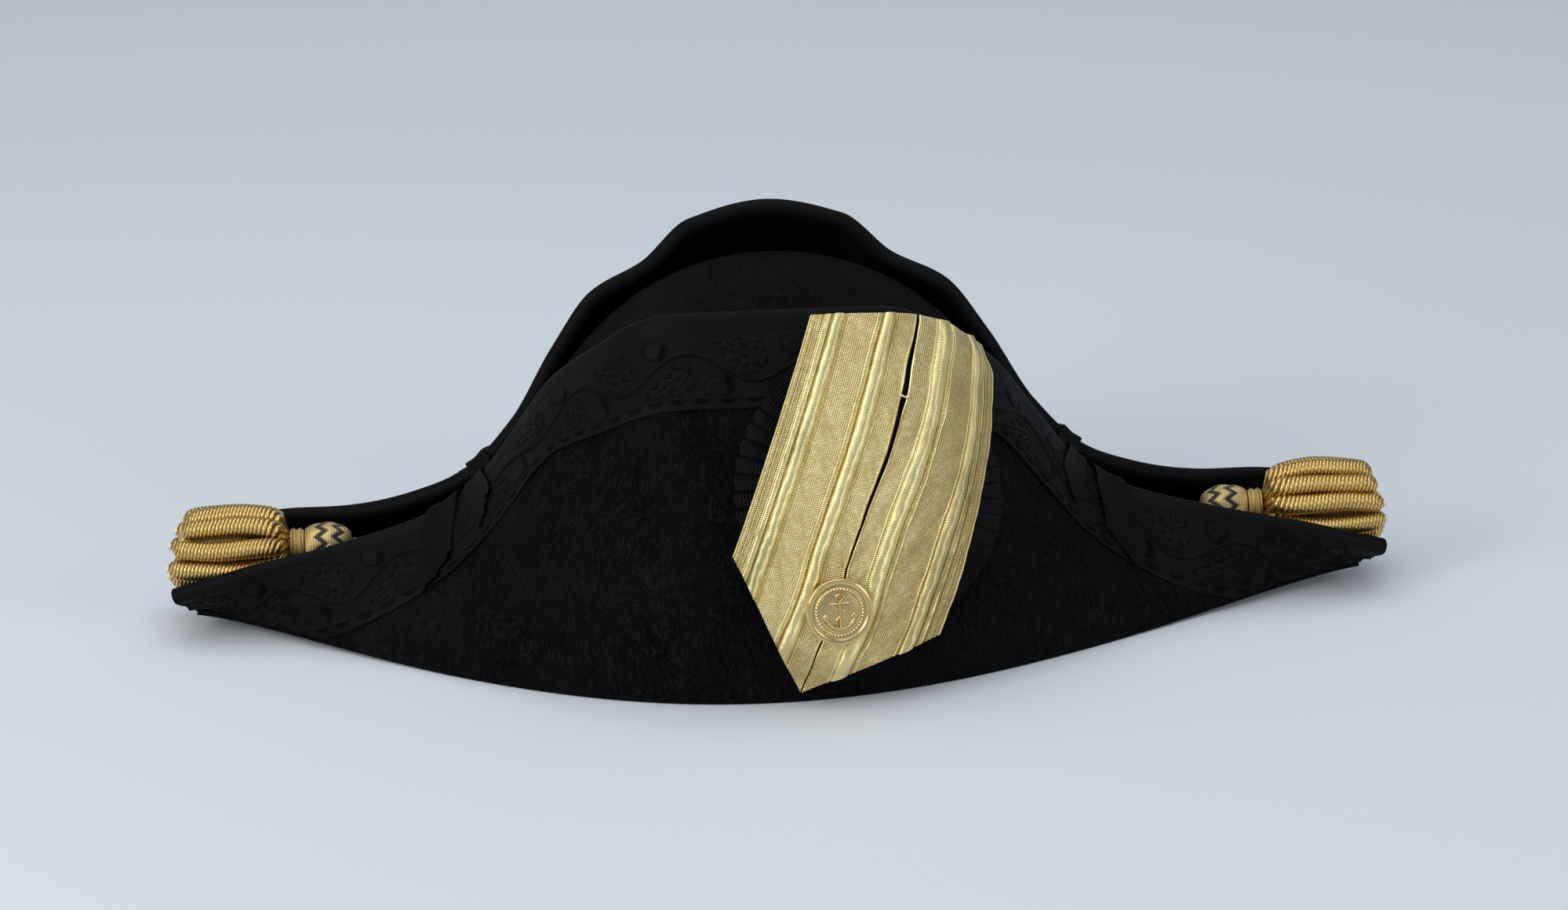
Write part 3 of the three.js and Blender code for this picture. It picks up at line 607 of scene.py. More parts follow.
def remap(tree, value, fromLow, fromHigh, toLow=0.0, toHigh=1.0):
    return addNode(tree, "ShaderNodeMapRange", {
        "Value": value, "From Min": fromLow, "From Max": fromHigh, "To Min": toLow, "To Max": toHigh,
    }).outputs[0]


def objectPlace(tree):
    return addNode(tree, "ShaderNodeTexCoord").outputs["Object"]


def uvParts(tree):
    return addNode(tree, "ShaderNodeSeparateXYZ", {0: addNode(tree, "ShaderNodeUVMap").outputs[0]}).outputs


def readMask(tree, name):
    return addNode(tree, "ShaderNodeAttribute", attribute_name=name).outputs["Fac"]


def noise(tree, place, scale, detail, output=0, **more):
    return addNode(tree, "ShaderNodeTexNoise", {
        "Vector": place, "Scale": scale, "Detail": detail, **more}).outputs[output]


# a row of round humps, one for each pitch
def humps(tree, value, pitch=1):
    return addMath(tree, "ABSOLUTE", addMath(tree, "SINE", addMath(tree, "MULTIPLY", value, math.pi / pitch)))


def newGroup(name, inputs, outputs):
    group = bpy.data.node_groups.new(name, "ShaderNodeTree")
    for label, value in inputs.items():
        group.interface.new_socket(label, in_out="INPUT", socket_type="NodeSocketFloat").default_value = value
    for label in outputs:
        group.interface.new_socket(label, in_out="OUTPUT", socket_type="NodeSocketFloat")
    return group, group.nodes.new("NodeGroupInput").outputs, group.nodes.new("NodeGroupOutput").inputs


def placeGroup(tree, group, **values):
    return addNode(tree, "ShaderNodeGroup", values, node_tree=group).outputs


# links a shader's sockets and gives it a bump
def dress(tree, shader, height, distance, strength, **sockets):
    for label, value in sockets.items():
        feed(tree, shader.inputs[label.replace("_", " ")], value)
    bump = addNode(tree, "ShaderNodeBump", {"Height": height, "Distance": distance, "Strength": strength})
    feed(tree, shader.inputs["Normal"], bump.outputs[0])


# pale lint and dust that settle on dark cloth
def makeDustGroup():
    group, given, result = newGroup("dust", {"amount": 0.5, "size": 60.0}, ["mask"])
    place = objectPlace(group)
    cloud = noise(group, place, given["size"], 5.0)
    grit = noise(group, place, 1900.0, 2.0)
    both = addMath(group, "MULTIPLY", remap(group, cloud, 0.45, 0.75), remap(group, grit, 0.5, 0.8))
    feed(group, result["mask"], addMath(group, "MULTIPLY", both, given["amount"]))
    return group


# short brushed hairs: long streaks of two sizes that lean across each other
def makeNapGroup():
    group, given, result = newGroup("nap", {"lean": 0.3}, ["height", "patches"])
    place = objectPlace(group)
    turn = addNode(group, "ShaderNodeCombineXYZ", {"Y": given["lean"]}).outputs[0]
    drift = noise(group, place, 22.0, 3.0, "Color")
    drifted = addNode(group, "ShaderNodeMix", {"Factor": 0.035, 4: place, 5: drift}, data_type="VECTOR")
    bent = drifted.outputs[1]
    heights = []
    for scale, distortion in (((2600, 2600, 420), 0.4), ((900, 900, 190), 0.7)):
        streaks = addNode(group, "ShaderNodeMapping", {"Vector": bent, "Scale": scale, "Rotation": turn})
        heights.append(noise(group, streaks.outputs[0], 1.0, 2.0, Distortion=distortion))
    feed(group, result["height"], addMath(group, "ADD", *heights))
    feed(group, result["patches"], noise(group, place, 34.0, 6.0, Roughness=0.6))
    return group


# ribs along a cloth's own length, in metres of its UV map
def makeRibGroup():
    group, given, result = newGroup("ribs", {"pitch": 0.001}, ["height"])
    parts = uvParts(group)
    feed(group, result["height"], humps(group, addMath(group, "DIVIDE", parts[1], given["pitch"])))
    return group


# rounded cells in staggered rows, as plaited wire or small beads lie
def makeCellGroup():
    group, given, result = newGroup("cells", {"across": 0.0, "along": 0.0, "size": 0.001}, ["height"])
    across = addMath(group, "DIVIDE", given["across"], given["size"])
    shift = addMath(group, "MULTIPLY", addMath(group, "FLOOR", across), 0.5)
    along = addMath(group, "ADD", addMath(group, "DIVIDE", given["along"], given["size"]), shift)
    both = addMath(group, "MULTIPLY", humps(group, across), humps(group, along))
    feed(group, result["height"], addMath(group, "POWER", both, 0.6))
    return group


cellGroup = makeCellGroup()
dustGroup = makeDustGroup()
napGroup = makeNapGroup()
ribGroup = makeRibGroup()


lintTone = (0.03, 0.03, 0.032)


def tint(tone, red, green, blue):
    return tone * red, tone * green, tone * blue


plushLook = {"tone": 0.0031, "lean": 0.3}


def makePlush():
    tone = plushLook["tone"]
    material, tree, shader = newMaterial(
        "plushCloth", 0.75, Sheen_Weight=0.006, Sheen_Roughness=0.4, Sheen_Tint=(0.8, 0.88, 1, 1),
        Specular_IOR_Level=0.03)
    nap = placeGroup(tree, napGroup, lean=plushLook["lean"])
    dust = placeGroup(tree, dustGroup, amount=0.4, size=45.0)
    patches = remap(tree, nap["patches"], 0.38, 0.64)
    base = mixColours(tree, patches, tint(tone, 0.55, 0.57, 0.62), tint(tone, 1.45, 1.5, 1.62))
    # where the nap stands highest it is painted light bluish grey: painted sheen on the raised streaks
    base = mixColours(tree, remap(tree, nap["height"], 0.95, 1.3), base, tint(tone, 3.6, 3.7, 3.9))
    dress(tree, shader, nap["height"], 0.0006, 0.9,
          Base_Color=mixColours(tree, dust["mask"], base, lintTone),
          Roughness=remap(tree, nap["height"], 0.7, 1.3, 0.6, 0.9))
    return material


def makeSilk(name, tone, pitch, relief=False, roughness=0.5):
    material, tree, shader = newMaterial(
        name, roughness, Sheen_Weight=0.003, Sheen_Roughness=0.35, Specular_IOR_Level=0.05)
    height = placeGroup(tree, ribGroup, pitch=pitch)["height"]
    dust = placeGroup(tree, dustGroup, amount=0.35, size=70.0)
    # the rib valleys are painted darker and the rib tops lighter: painted shade between the ribs
    base = mixColours(tree, height, tint(tone, 0.6, 0.61, 0.65), tint(tone, 1, 1.02, 1.08))
    if relief:  # woven figures stand up smooth from the ribs
        threads = noise(tree, objectPlace(tree), 1500.0, 2.0)
        figure = readMask(tree, "figure")
        base = mixColours(tree, figure, base, tint(tone, 0.85, 0.86, 0.9))
        # the sunk lines, figure rims and scallop crescents are painted near black: painted shade
        base = mixColours(tree, readMask(tree, "groove"), base, tint(tone, 0.05, 0.05, 0.06))
        height = mixFloat(tree, figure, height, addMath(tree, "MULTIPLY", threads, 0.5))
    dress(tree, shader, height, 0.00018, 0.8, Base_Color=mixColours(tree, dust["mask"], base, lintTone))
    return material


plush = makePlush()
silkLace = makeSilk("silkLace", 0.0058, 0.00083, relief=True)
silkRibbon = makeSilk("silkRibbon", 0.0052, 0.0004)
cockadeRibbon = makeSilk("cockadeRibbon", 0.006, 0.0012, roughness=0.42)

print("crown, brim and fans")


def makeFanCloth(fan, name, node):
    underReach = 0.012
    foldShare = 0.9  # of the grid is above the fold

    def shape(u, v):
        down = 1 - v
        t = clamp(1 - down / foldShare)
        under = np.maximum(0, down - foldShare) / (1 - foldShare) * underReach
        x = (u - 0.5) * 2 * topReach
        points = onFace(fan, x, t, 0.0, under)
        ripple = 0.00035 * np.sin(x * 71 + 3 * t) * np.sin(t * math.pi) * np.sin(x * 23 + t * 5)
        return points + fanFrame(fan, x, t)[2] * (ripple * (under == 0))[:, None]

    piece = addCloth(name, 260, 100, shape, (2 * topReach, 0.135))
    giveBody(piece, hat["fanThickness"], *leftTurned(fan))
    return finishPiece(piece, plush, "hat", "plush", node)


rightFanCloth = makeFanCloth(rightFan, "rightFanCloth", "right_fan")
leftFanCloth = makeFanCloth(leftFan, "leftFanCloth", "left_fan")


def domeShape(inset, foot, top, wave=0.0, waves=0):
    height = hat["crownHeight"] - crownFoot - inset

    def shape(u, v):
        turn = u * 2 * math.pi
        low = math.asin(max(0.0, (foot - crownFoot) / height))
        high = math.asin(min(1.0, (top - crownFoot) / height))
        share = np.sin(low + (high - low) * v)
        width = np.maximum(0, 1 - share ** hat["crownRoundness"]) ** (1 / hat["crownRoundness"])
        width = width * (1 + wave * np.sin(turn * waves))
        return np.stack([
            (hat["crownHalfLength"] - inset) * width * np.cos(turn),
            middleY + (hat["crownHalfWidth"] - inset) * width * np.sin(turn),
            crownFoot + height * share + min(0, foot - crownFoot) * (1 - v),
        ], -1)

    return shape


# span is where the piece starts and ends in height, look its material and slot
def makeDomePiece(name, node, inset, thickness, span, look, size, wave=0.0, waves=0, rows=60):
    piece = addCloth(name, 220, rows, domeShape(inset, *span, wave, waves), size)
    giveBody(piece, thickness, mergeDoubles, facesOut)
    return finishPiece(piece, look[0], "hat", look[1], node)


crownCloth = makeDomePiece("crownCloth", "crown_shell", 0.0, hat["crownWall"],
                           (crownFoot, hat["crownHeight"]), (plush, "plush"), (0.56, 0.17))


def makeBrimCloth():
    hole = (hat["crownHalfLength"] - hat["crownWall"], hat["crownHalfWidth"] - hat["crownWall"])
    half = hat["brimThickness"] / 2

    def shape(u, v):
        turn = u * 2 * math.pi
        cos, sin = np.cos(turn), np.sin(turn)
        outX = foldReach * cos
        outY = np.sign(sin) * foldHalfWidth(cos)
        x = hole[0] * cos * (1 - v) + outX * v
        y = hole[1] * sin * (1 - v) + outY * v * 0.995
        return np.stack([x, middleY + y, half + brimRise(x)], -1)

    piece = addCloth("brimCloth", 240, 24, shape, (0.9, 0.05))
    giveBody(piece, hat["brimThickness"] - 0.0002, mergeDoubles, facesOut, offset=0.0)
    return finishPiece(piece, plush, "hat", "plush", "under_brim")


makeBrimCloth()

print("figured silk lace")
lace = {
    "width": 0.03175,
    "thickness": 0.0007,
    "turnIn": 0.003,
    "waveLength": 0.047,
    "waveHeight": 0.0052,
    "fieldMiddle": 0.0162,
    "shift": 0.0057,
    "hold": 0.93,
    "figureRise": 0.00045,
    "scallop": 0.0087,
    "scallopLine": 0.0281,
    "scallopDepth": 0.0022,
    "mitre": -0.062,
    "underFold": 0.0012,
    "tipEase": 0.006,
    "tipHaste": 1.25,
}


# the woven oak leaves and acorns of one wave of the stem: place along the wave, below the
# field's middle, heading in degrees, length and half width in metres
laceLeaves = [
    (0.82, -0.0048, -156, 0.020, 0.0036),
    (0.82, -0.0048, -136, 0.0145, 0.0027),
    (0.815, -0.0052, -110, 0.009, 0.0023),
    (0.80, -0.0035, 178, 0.0105, 0.0023),
    (0.292, 0.0061, 151, 0.021, 0.0038),
    (0.292, 0.0061, 126, 0.0135, 0.0027),
    (0.285, 0.0068, 96, 0.007, 0.0022),
    (0.28, 0.0052, 177, 0.0095, 0.0023),
]
laceAcorns = [(0.105, -0.0021, -156, 0.009), (0.569, 0.0043, 167, 0.0105)]


# places along and across a figure's own axis
def figureAxes(along, down, place, turn):
    a, b = along - place[0], down - place[1]
    return a * math.cos(turn) + b * math.sin(turn), -a * math.sin(turn) + b * math.cos(turn)


# a lobed leaf along its own axis: 1 inside, with a vein and shaded notches
def leafFigure(along, down, place, turn, length, width):
    p, q = figureAxes(along, down, place, turn)
    p, q = p / length, q / width
    inside = (p > 0) & (p < 1)
    p1 = clamp(p)
    lobes = 3.6 if length > 0.012 else 2.4
    wave = np.cos(2 * math.pi * (lobes * (p1 - 0.1 * np.abs(q)) + 0.3 * (q > 0)))
    edge = np.sin(math.pi * p1 ** 0.85) ** 0.7 * (0.74 + 0.26 * wave)
    body = clamp((edge - np.abs(q)) / 0.16) * inside
    vein = fade(q, 0.09) * inside * (p1 < 0.88)
    rim = fade(edge + 0.1 - np.abs(q), 0.2) * inside
    shaded = rim * (0.25 + 0.75 * (wave < 0.1)) * np.where(q > 0, 1, 0.55)
    return body * (1 - 0.7 * vein), np.maximum(shaded, vein * 0.8)


def acornFigure(along, down, place, turn, size):
    p, q = (part / size for part in figureAxes(along, down, place, turn))
    away = np.hypot((p - 0.42) / 0.5, q / 0.34)
    nut = clamp((1 - away) / 0.18) * (p > 0.2)
    cup = clamp((1 - np.hypot((p - 0.16) / 0.26, q / 0.42)) / 0.2) * (p <= 0.2)
    rim = fade(away - 1.05, 0.14) * (p > 0.15) * (0.4 + 0.6 * (q < 0.05))
    return nut + cup * 0.3, np.maximum(rim, cup * 0.9)


def laceFigure(along, down):
    wave = lace["waveLength"]
    turn = 2 * math.pi / wave
    middle = lace["fieldMiddle"]
    local = np.mod(along, wave)
    line = middle + lace["waveHeight"] * -np.sin(turn * along)
    slope = np.hypot(1, lace["waveHeight"] * turn * np.cos(turn * along))
    figure = clamp(1.4 - np.abs(down - line) / slope / 0.00045)
    # the line under the stem, the figures' rims, notches and veins, and the scallops' crescents are sunk and
    # also painted dark: painted shade
    groove = fade(down - line - 0.0009, 0.0005) * 0.9
    shapes = [(leafFigure, *leaf) for leaf in laceLeaves] + [(acornFigure, *acorn) for acorn in laceAcorns]
    for figureOf, share, drop, heading, *size in shapes:
        for cycle in (-1, 0, 1):
            level = middle - lace["waveHeight"] * math.sin(turn * share * wave)
            place = ((share + cycle) * wave, level + drop)
            body, shade = figureOf(local, down, place, math.radians(heading), *size)
            figure = np.maximum(figure, body)
            groove = np.maximum(groove * (1 - body), shade)
    inField = (down > 0.0042) & (down < 0.0268)
    figure, groove = figure * inField, groove * inField
    arch = np.mod(along / lace["scallop"], 1)
    depth = lace["scallopDepth"] * np.maximum(0, np.sin(math.pi * clamp((arch - 0.1) / 0.8))) ** 0.8
    below = down - lace["scallopLine"]
    crescent = clamp(below / 0.0003) * clamp((depth - below) / 0.0004)
    cord = fade(below + 0.0005, 0.0005)
    groove = np.maximum(groove, crescent)
    groove = np.maximum(groove, fade(down - 0.004, 0.0003) * 0.5)
    plain = np.maximum(down < 0.0039, down > lace["scallopLine"])
    return np.maximum(figure, cord * 0.8), groove, plain


# how far down the lace goes before it is trimmed under the fold
def trimmedReach(table, along):
    rows = np.linspace(0, table["width"], table["under"].shape[1])
    reach = np.array([np.interp(lace["underFold"], line + rows * 1e-6, rows, right=table["width"])
                      for line in table["under"]])
    return np.interp(along, table["along"], reach)


# 0 at the tie, 1 at the tip
def tipShare(x):
    share = clamp((np.abs(x) - tieAt) / (topReach - tieAt) * lace["tipHaste"])
    return share * share * (3 - 2 * share)


def makeLace(name, table, start, end, columns, rows):
    fan = table["fan"]
    low = -overEdge - lace["turnIn"]
    size = (end - start, lace["width"] - low)
    piece = addCloth(name, columns, rows, lambda u, v: np.stack([u, v, u * 0], -1), size)
    flat = readPoints(piece)
    along = start + (end - start) * flat[:, 0]
    ease = tipShare(np.interp(along, table["along"], table["edges"]))
    eased = lace["tipEase"] * ease
    hold = lace["hold"] + (1 - lace["hold"]) * ease
    reach = np.minimum(lace["width"], (trimmedReach(table, along) + eased) / hold)
    down = reach - (reach - low) * flat[:, 1]
    figure, groove, plain = laceFigure(along - lace["shift"], down)
    storeMasks(piece, figure=np.maximum(figure, plain), groove=groove)
    rise = lace["figureRise"] * (figure - groove * 0.9)
    swell = 0.0002 * np.sin(along * 160) * clamp(down / 0.01)
    pucker = 0.0005 * ease * np.sin(down * 900 + np.sin(along * 240) * 2) * clamp((down - 0.006) / 0.008)
    height = hat["seatGap"] + lace["thickness"] + rise + swell + pucker
    bend(piece, lambda points: onBand(
        table, along, np.where(down > 0, down * hold, down) - eased, height))
    giveBody(piece, lace["thickness"], *leftTurned(fan), angle=60)
    return piece


rightBand = bandTable(rightFan, lace["width"])
leftBand = bandTable(leftFan, lace["width"])
mitreAlong = float(np.interp(lace["mitre"], rightBand["edges"], rightBand["along"]))
laceEnds = (rightBand["along"][0], rightBand["along"][-1])
rearLace = makeLace("rightLaceRear", rightBand, laceEnds[0], mitreAlong, 380, 84)
frontLace = makeLace("rightLaceFront", rightBand, mitreAlong, laceEnds[1], 640, 90)
leftLace = makeLace("leftLace", leftBand, leftBand["along"][0], leftBand["along"][-1], 580, 84)
for piece, node, length, fan in (
        (rearLace, "right_fan_lace", mitreAlong - laceEnds[0], rightFanCloth),
        (frontLace, "right_fan_lace", laceEnds[1] - mitreAlong, rightFanCloth),
        (leftLace, "left_fan_lace", leftBand["length"], leftFanCloth)):
    finishPiece(piece, silkLace, "hat", "silk_lace", node)

print("ties")
tie = {
    "bandWidth": 0.011,
    "tailWidth": 0.013,
    "drop": 0.027,
    "lift": 0.0012,
    "thickness": 0.0006,
    "beyondTie": -0.004,
    "fray": 0.0006,
    "pinch": 0.8,
    "bandCut": (0.013, 0.025),
    "tailCut": (0.022, 0.030),
}


def makeTie(name, centre, width, overBoth, node, skew, cut):
    rng = np.random.default_rng(len(name))
    samples = 46
    edgeRight = np.interp(centre, rightBand["edges"], rightBand["along"])
    edgeLeft = np.interp(centre, leftBand["edges"], leftBand["along"])

    def shape(u, v):
        frayed = tie["fray"] * rng.standard_normal(len(u)) * (u < 0.004)
        offset = (v - 0.5) * width
        crease = 0.00015 * np.sin(v * math.pi * 2.6 + 0.7)
        height = hat["seatGap"] + lace["thickness"] + tie["lift"] + crease
        full = tie["drop"] + overTop
        passed = u * full * (2 if overBoth else 1) + frayed
        near = tie["drop"] - np.minimum(passed, full)
        far = passed - full - overTop
        outer = v if centre > 0 else 1 - v
        near = np.where(near > 0, near * (cut[0] + (cut[1] - cut[0]) * outer) / tie["drop"], near)
        pinch = tie["pinch"] + (1 - tie["pinch"]) * clamp(near / 0.012) if overBoth else 1
        offset = offset * pinch
        slant = skew * near + 0.0008 * np.sin(near * 260) * (v - 0.5)
        right = onBand(rightBand, edgeRight + offset + slant, near, height)
        if not overBoth:
            return right
        left = onBand(leftBand, edgeLeft + offset - skew * far, np.maximum(far, -overTop), height)
        return np.where((passed > full)[:, None], left, right)

    piece = addCloth(name, samples * (2 if overBoth else 1), 12, shape, (0.1 if overBoth else 0.034, width))
    editAll(piece, flipFaces)
    thicken(piece, tie["thickness"])
    editAll(piece, facesOut)
    smoothShading(piece, 60)
    finishPiece(piece, silkRibbon, "hat", "ribbon", node)
    middleCut = (cut[0] + cut[1]) / 2
    length = (middleCut + overTop) * 2 if overBoth else middleCut + overTop
    if overBoth:
        length += tie["drop"] - middleCut


for end, side in (("front", 1), ("rear", -1)):
    bandAt = side * (tieAt + tie["beyondTie"])
    tailAt = bandAt + side * ((tie["bandWidth"] + tie["tailWidth"]) / 2 + 0.0005)
    makeTie(end + "TieBand", bandAt, tie["bandWidth"], True, end + "_tie_band", -0.05 * side, tie["bandCut"])
    makeTie(end + "TieTail", tailAt, tie["tailWidth"], False, end + "_tie_tail", 0.42 * side, tie["tailCut"])

print("cockade and gold loop")
cockadeSizes = {
    "radius": 0.0472,
    "eyeRadius": 0.012,
    "along": 0.0313,
    "up": 0.0683,
    "pleats": 50,
    "pleatRise": 0.0014,
    "base": 0.0004,
    "lift": 0.0036,
    "edgeShare": 0.985,
    "ribbonCut": (0.0355, 0.235),
    "ribbonThickness": 0.0004,
    "backingShare": 0.93,
    "backingThickness": 0.0018,
}


def cockadePlaces(turn, share):
    rays = np.linspace(0, 2 * math.pi, 401)
    pace = 0.001
    paces = int(cockadeSizes["radius"] / pace) + 1
    start = startWalk(cockadeSizes["along"], cockadeSizes["up"], math.pi / 2 - rays)
    xs, ts, _ = walkPlaces(*start, pace, paces)
    reach = np.full(len(rays), cockadeSizes["radius"])
    for i in range(len(rays)):
        high = np.nonzero(ts[:, i] > cockadeSizes["edgeShare"])[0]
        if len(high):
            reach[i] = min(reach[i], (high[0] - 1) * pace)
    ray = turn / (2 * math.pi) * (len(rays) - 1)
    rayReach = np.interp(ray, np.arange(len(rays)), reach)
    radius = cockadeSizes["eyeRadius"] + (rayReach - cockadeSizes["eyeRadius"]) * share
    return sampleTable(xs, radius / pace, ray), sampleTable(ts, radius / pace, ray)


def makeCockade():
    pleats = cockadeSizes["pleats"]

    def shape(u, v):
        turn = u * 2 * math.pi
        rim = v + 0.012 * np.sin(turn * pleats) * (v > 0.97)
        x, t = cockadePlaces(turn, rim)
        across = np.mod(u * pleats + 0.35 * np.sin(turn * 3) * v * 0.4, 1)
        crest = np.where(across < 0.9, across / 0.9, (1 - across) / 0.1)
        crest = crest * 0.75 + 0.25 * np.sin(crest * math.pi / 2)
        rise = cockadeSizes["pleatRise"] * crest * (0.3 + 0.7 * v)
        return onFace(rightFan, x, t, cockadeSizes["lift"] + cockadeSizes["base"] + rise)

    piece = addCloth("cockadePleats", pleats * 12, 22, shape, (0.5, 0.035))
    sealDisc(piece, rightFan, cockadeSizes["ribbonThickness"])
    smoothShading(piece, 40)
    finishPiece(piece, cockadeRibbon, "hat", "ribbon", "cockade")


def makeCockadeBacking():
    def shape(u, v):
        x, t = cockadePlaces(u * 2 * math.pi, v * cockadeSizes["backingShare"])
        return onFace(rightFan, x, t, cockadeSizes["lift"] - 0.0002)

    piece = addCloth("cockadeBacking", 120, 12, shape, (0.28, 0.033))
    sealDisc(piece, rightFan, cockadeSizes["backingThickness"])
    return finishPiece(piece, buckramCloth, "hat", "buckram", "cockade_backing")


buckramCloth = makeSilk("buckramCloth", 0.004, 0.0008, roughness=0.85)
makeCockade()
makeCockadeBacking()

goldLoop = {
    "lean": math.radians(23.4),
    "tipAlong": 0.0038,
    "tipUp": 0.0016,
    "legWidth": 0.0374,
    "slit": 0.0012,
    "thickness": 0.0007,
    "footLift": 0.002,
    "overCockade": 0.0068,
    "climb": 0.024,
    "legLift": 0.002,
    "ridgeRise": 0.0013,
    "ridges": ((0.0072, 0.0118), (0.0246, 0.0298)),
    "length": 0.142,
    "frontCut": 0.9,
    "rearCut": 0.97,
    "legGrid": (190, 250),
    "stitchShare": 0.79,
    "firstTop": 0.88,
    "slitReach": 0.2,
    "dullReach": 0.03,
    "stitchInset": 0.03,
    "backingThickness": 0.0026,
}
# how the lace settled, in millimetres: places up the slit, and there the slit's shift,
# the front edge's shift and half the slit's gap, which opens round the button's eye
settlePlaces = [0, 18, 26, 31.5, 37, 46, 64, 84, 103, 117, 127]
slitShift = throughStations(
    settlePlaces, [-0.5, -1.5, -0.4, -0.1, -0.4, -1.9, -1.7, -0.8, -1.9, -4.5, -5.8])
edgeShift = throughStations(
    settlePlaces, [-3.4, -3.5, -3, -2.6, -2.4, -2.3, -3, -4.1, -5.4, -6.8, -7.4])
slitGap = throughStations([0, 24, 27.6, 29.2, 31.5, 33.8, 35.4, 46, 64, 84, 103, 117, 127],
                          [0.16, 0.16, 0.3, 2.7, 3.2, 2.7, 0.3, 0.2, 0.38, 0.55, 0.72, 0.6, 0.5])


def loopTable():
    pace = 0.001
    paces = int(goldLoop["length"] / pace)
    start = startWalk(goldLoop["tipAlong"], goldLoop["tipUp"], goldLoop["lean"])
    x, t, heading = walkPlaces(*start, pace, paces)
    forward = np.cross(heading, fanFrame(rightFan, x, t)[2])
    reach = int((goldLoop["legWidth"] + goldLoop["slit"]) / pace) + 2
    front = walkPlaces(x, t, forward, pace, reach)
    rear = walkPlaces(x, t, forward, -pace, reach)
    xs = np.concatenate([rear[0][:0:-1], front[0]]).T
    ts = np.concatenate([rear[1][:0:-1], front[1]]).T
    return {"x": xs, "t": ts, "pace": pace, "middle": reach}


loopPlaces = loopTable()
cockadeMiddle = fanFace(rightFan, cockadeSizes["along"], shareUp(cockadeSizes["along"], cockadeSizes["up"]))


def settled(across, along):
    middle, edge, gap = (curve(along * 1000) * 0.001 for curve in (slitShift, edgeShift, slitGap))
    share = clamp(np.abs(across) / goldLoop["legWidth"])
    closing = (gap - goldLoop["slit"] / 2) * np.sign(across) * clamp(1 - share / goldLoop["slitReach"])
    shift = np.where(across > 0, middle * (1 - share) + edge * share, middle * (1 - share) ** 2)
    return across + closing + shift


def onLoop(across, share, lift):
    table = loopPlaces
    rows = np.arange(table["t"].shape[0])
    tops = np.array([np.interp(1.0, table["t"][:, j], rows) for j in range(table["t"].shape[1])])
    top = np.full(np.shape(across), goldLoop["length"] * goldLoop["firstTop"])
    for _ in range(3):
        column = settled(across, top) / table["pace"] + table["middle"]
        top = np.interp(column, np.arange(len(tops)), tops) * table["pace"]
    foot = np.abs(across) * np.where(across > 0, goldLoop["frontCut"], goldLoop["rearCut"])
    along = foot + (top - foot) * share
    column = settled(across, along) / table["pace"] + table["middle"]
    x = sampleTable(table["x"], along / table["pace"], column)
    t = sampleTable(table["t"], along / table["pace"], column)
    away = np.linalg.norm(fanFace(rightFan, x, t) - cockadeMiddle, axis=-1) - cockadeSizes["radius"]
    near = clamp((away - goldLoop["climb"] / 3) / (goldLoop["climb"] * 2 / 3))
    over = 1 - near * near * (3 - 2 * near)
    foot = goldLoop["footLift"] + (goldLoop["overCockade"] - goldLoop["footLift"]) * over
    return onFace(rightFan, x, t, foot + lift), along


def legProfile(inset):
    rise = np.zeros_like(inset)
    for low, high in goldLoop["ridges"]:
        share = clamp((inset - low) / (high - low))
        rise += goldLoop["ridgeRise"] * np.maximum(0, np.sin(share * math.pi)) ** 0.72
        for edge in (low, high):
            rise -= 0.00025 * np.exp(-((inset - edge) / 0.0003) ** 2)
    ribbed = (inset < goldLoop["ridges"][0][0] - 0.0016) & (inset > 0.0008)
    rise += np.where(ribbed, 0.00016 * np.sin(inset * 2 * math.pi / 0.00118), 0)
    return rise + 0.0003 * cordMask(inset)


# raised cords woven along the leg's edges and beside the ridges, painted bright as a painted highlight
def cordMask(inset):
    places = [0.0003, goldLoop["legWidth"] - 0.0004]
    for low, high in goldLoop["ridges"]:
        places += [low - 0.0006, low - 0.0017, high + 0.0006]
    return np.max([np.exp(-((inset - place) / 0.00024) ** 2) for place in places], axis=0)


def makeLoopLeg(side, name, node):
    width = goldLoop["legWidth"]
    outside = goldLoop["slit"] / 2 + width
    ridge = {}

    def shape(u, v):
        inset = u * width
        across = side * (outside - inset)
        waves = np.sin(v * 47 + inset * 420 + side) * np.sin(v * 19 - inset * 260)
        rise = legProfile(inset) + 0.00022 * waves + 0.00003 * np.sin(v * 131 + inset * 1300)
        points, along = onLoop(across, v, goldLoop["legLift"] + goldLoop["thickness"] + rise)
        ridge["inset"], ridge["along"] = inset, along
        return points

    piece = addCloth(name, *goldLoop["legGrid"], shape, (width, 0.12))
    inset, along = ridge["inset"], ridge["along"]
    smooth = np.zeros_like(inset)
    for low, high in goldLoop["ridges"]:
        onRidge = clamp((inset - low) / 0.0004) * clamp((high - inset) / 0.0004)
        smooth = np.maximum(smooth, onRidge)
    # the front leg's outer edge is painted darker, fading inward: painted shade on the side turned from the
    # light
    storeMasks(piece, ridge=smooth, along=along, inset=inset, cord=cordMask(inset),
               dull=clamp(1 - inset / goldLoop["dullReach"]) * (side > 0))
    flipIfInward(piece, rightFan)
    giveBody(piece, goldLoop["thickness"], angle=60)
    finishPiece(piece, goldLace, "hat", "gold_lace", node)


def makeLoopBacking():
    def shape(u, v):
        across = (u - 0.5) * 2 * (goldLoop["legWidth"] - 0.0008)
        return onLoop(across, v * 0.992 + 0.004, goldLoop["legLift"] - 0.0001)[0]

    piece = addCloth("loopBacking", 60, 60, shape, (0.075, 0.12))
    flipIfInward(piece, rightFan)
    thicken(piece, goldLoop["backingThickness"])
    return finishPiece(piece, buckramCloth, "hat", "buckram", "loop_backing")


greenStripe = {"middle": 0.0084, "half": 0.0024}


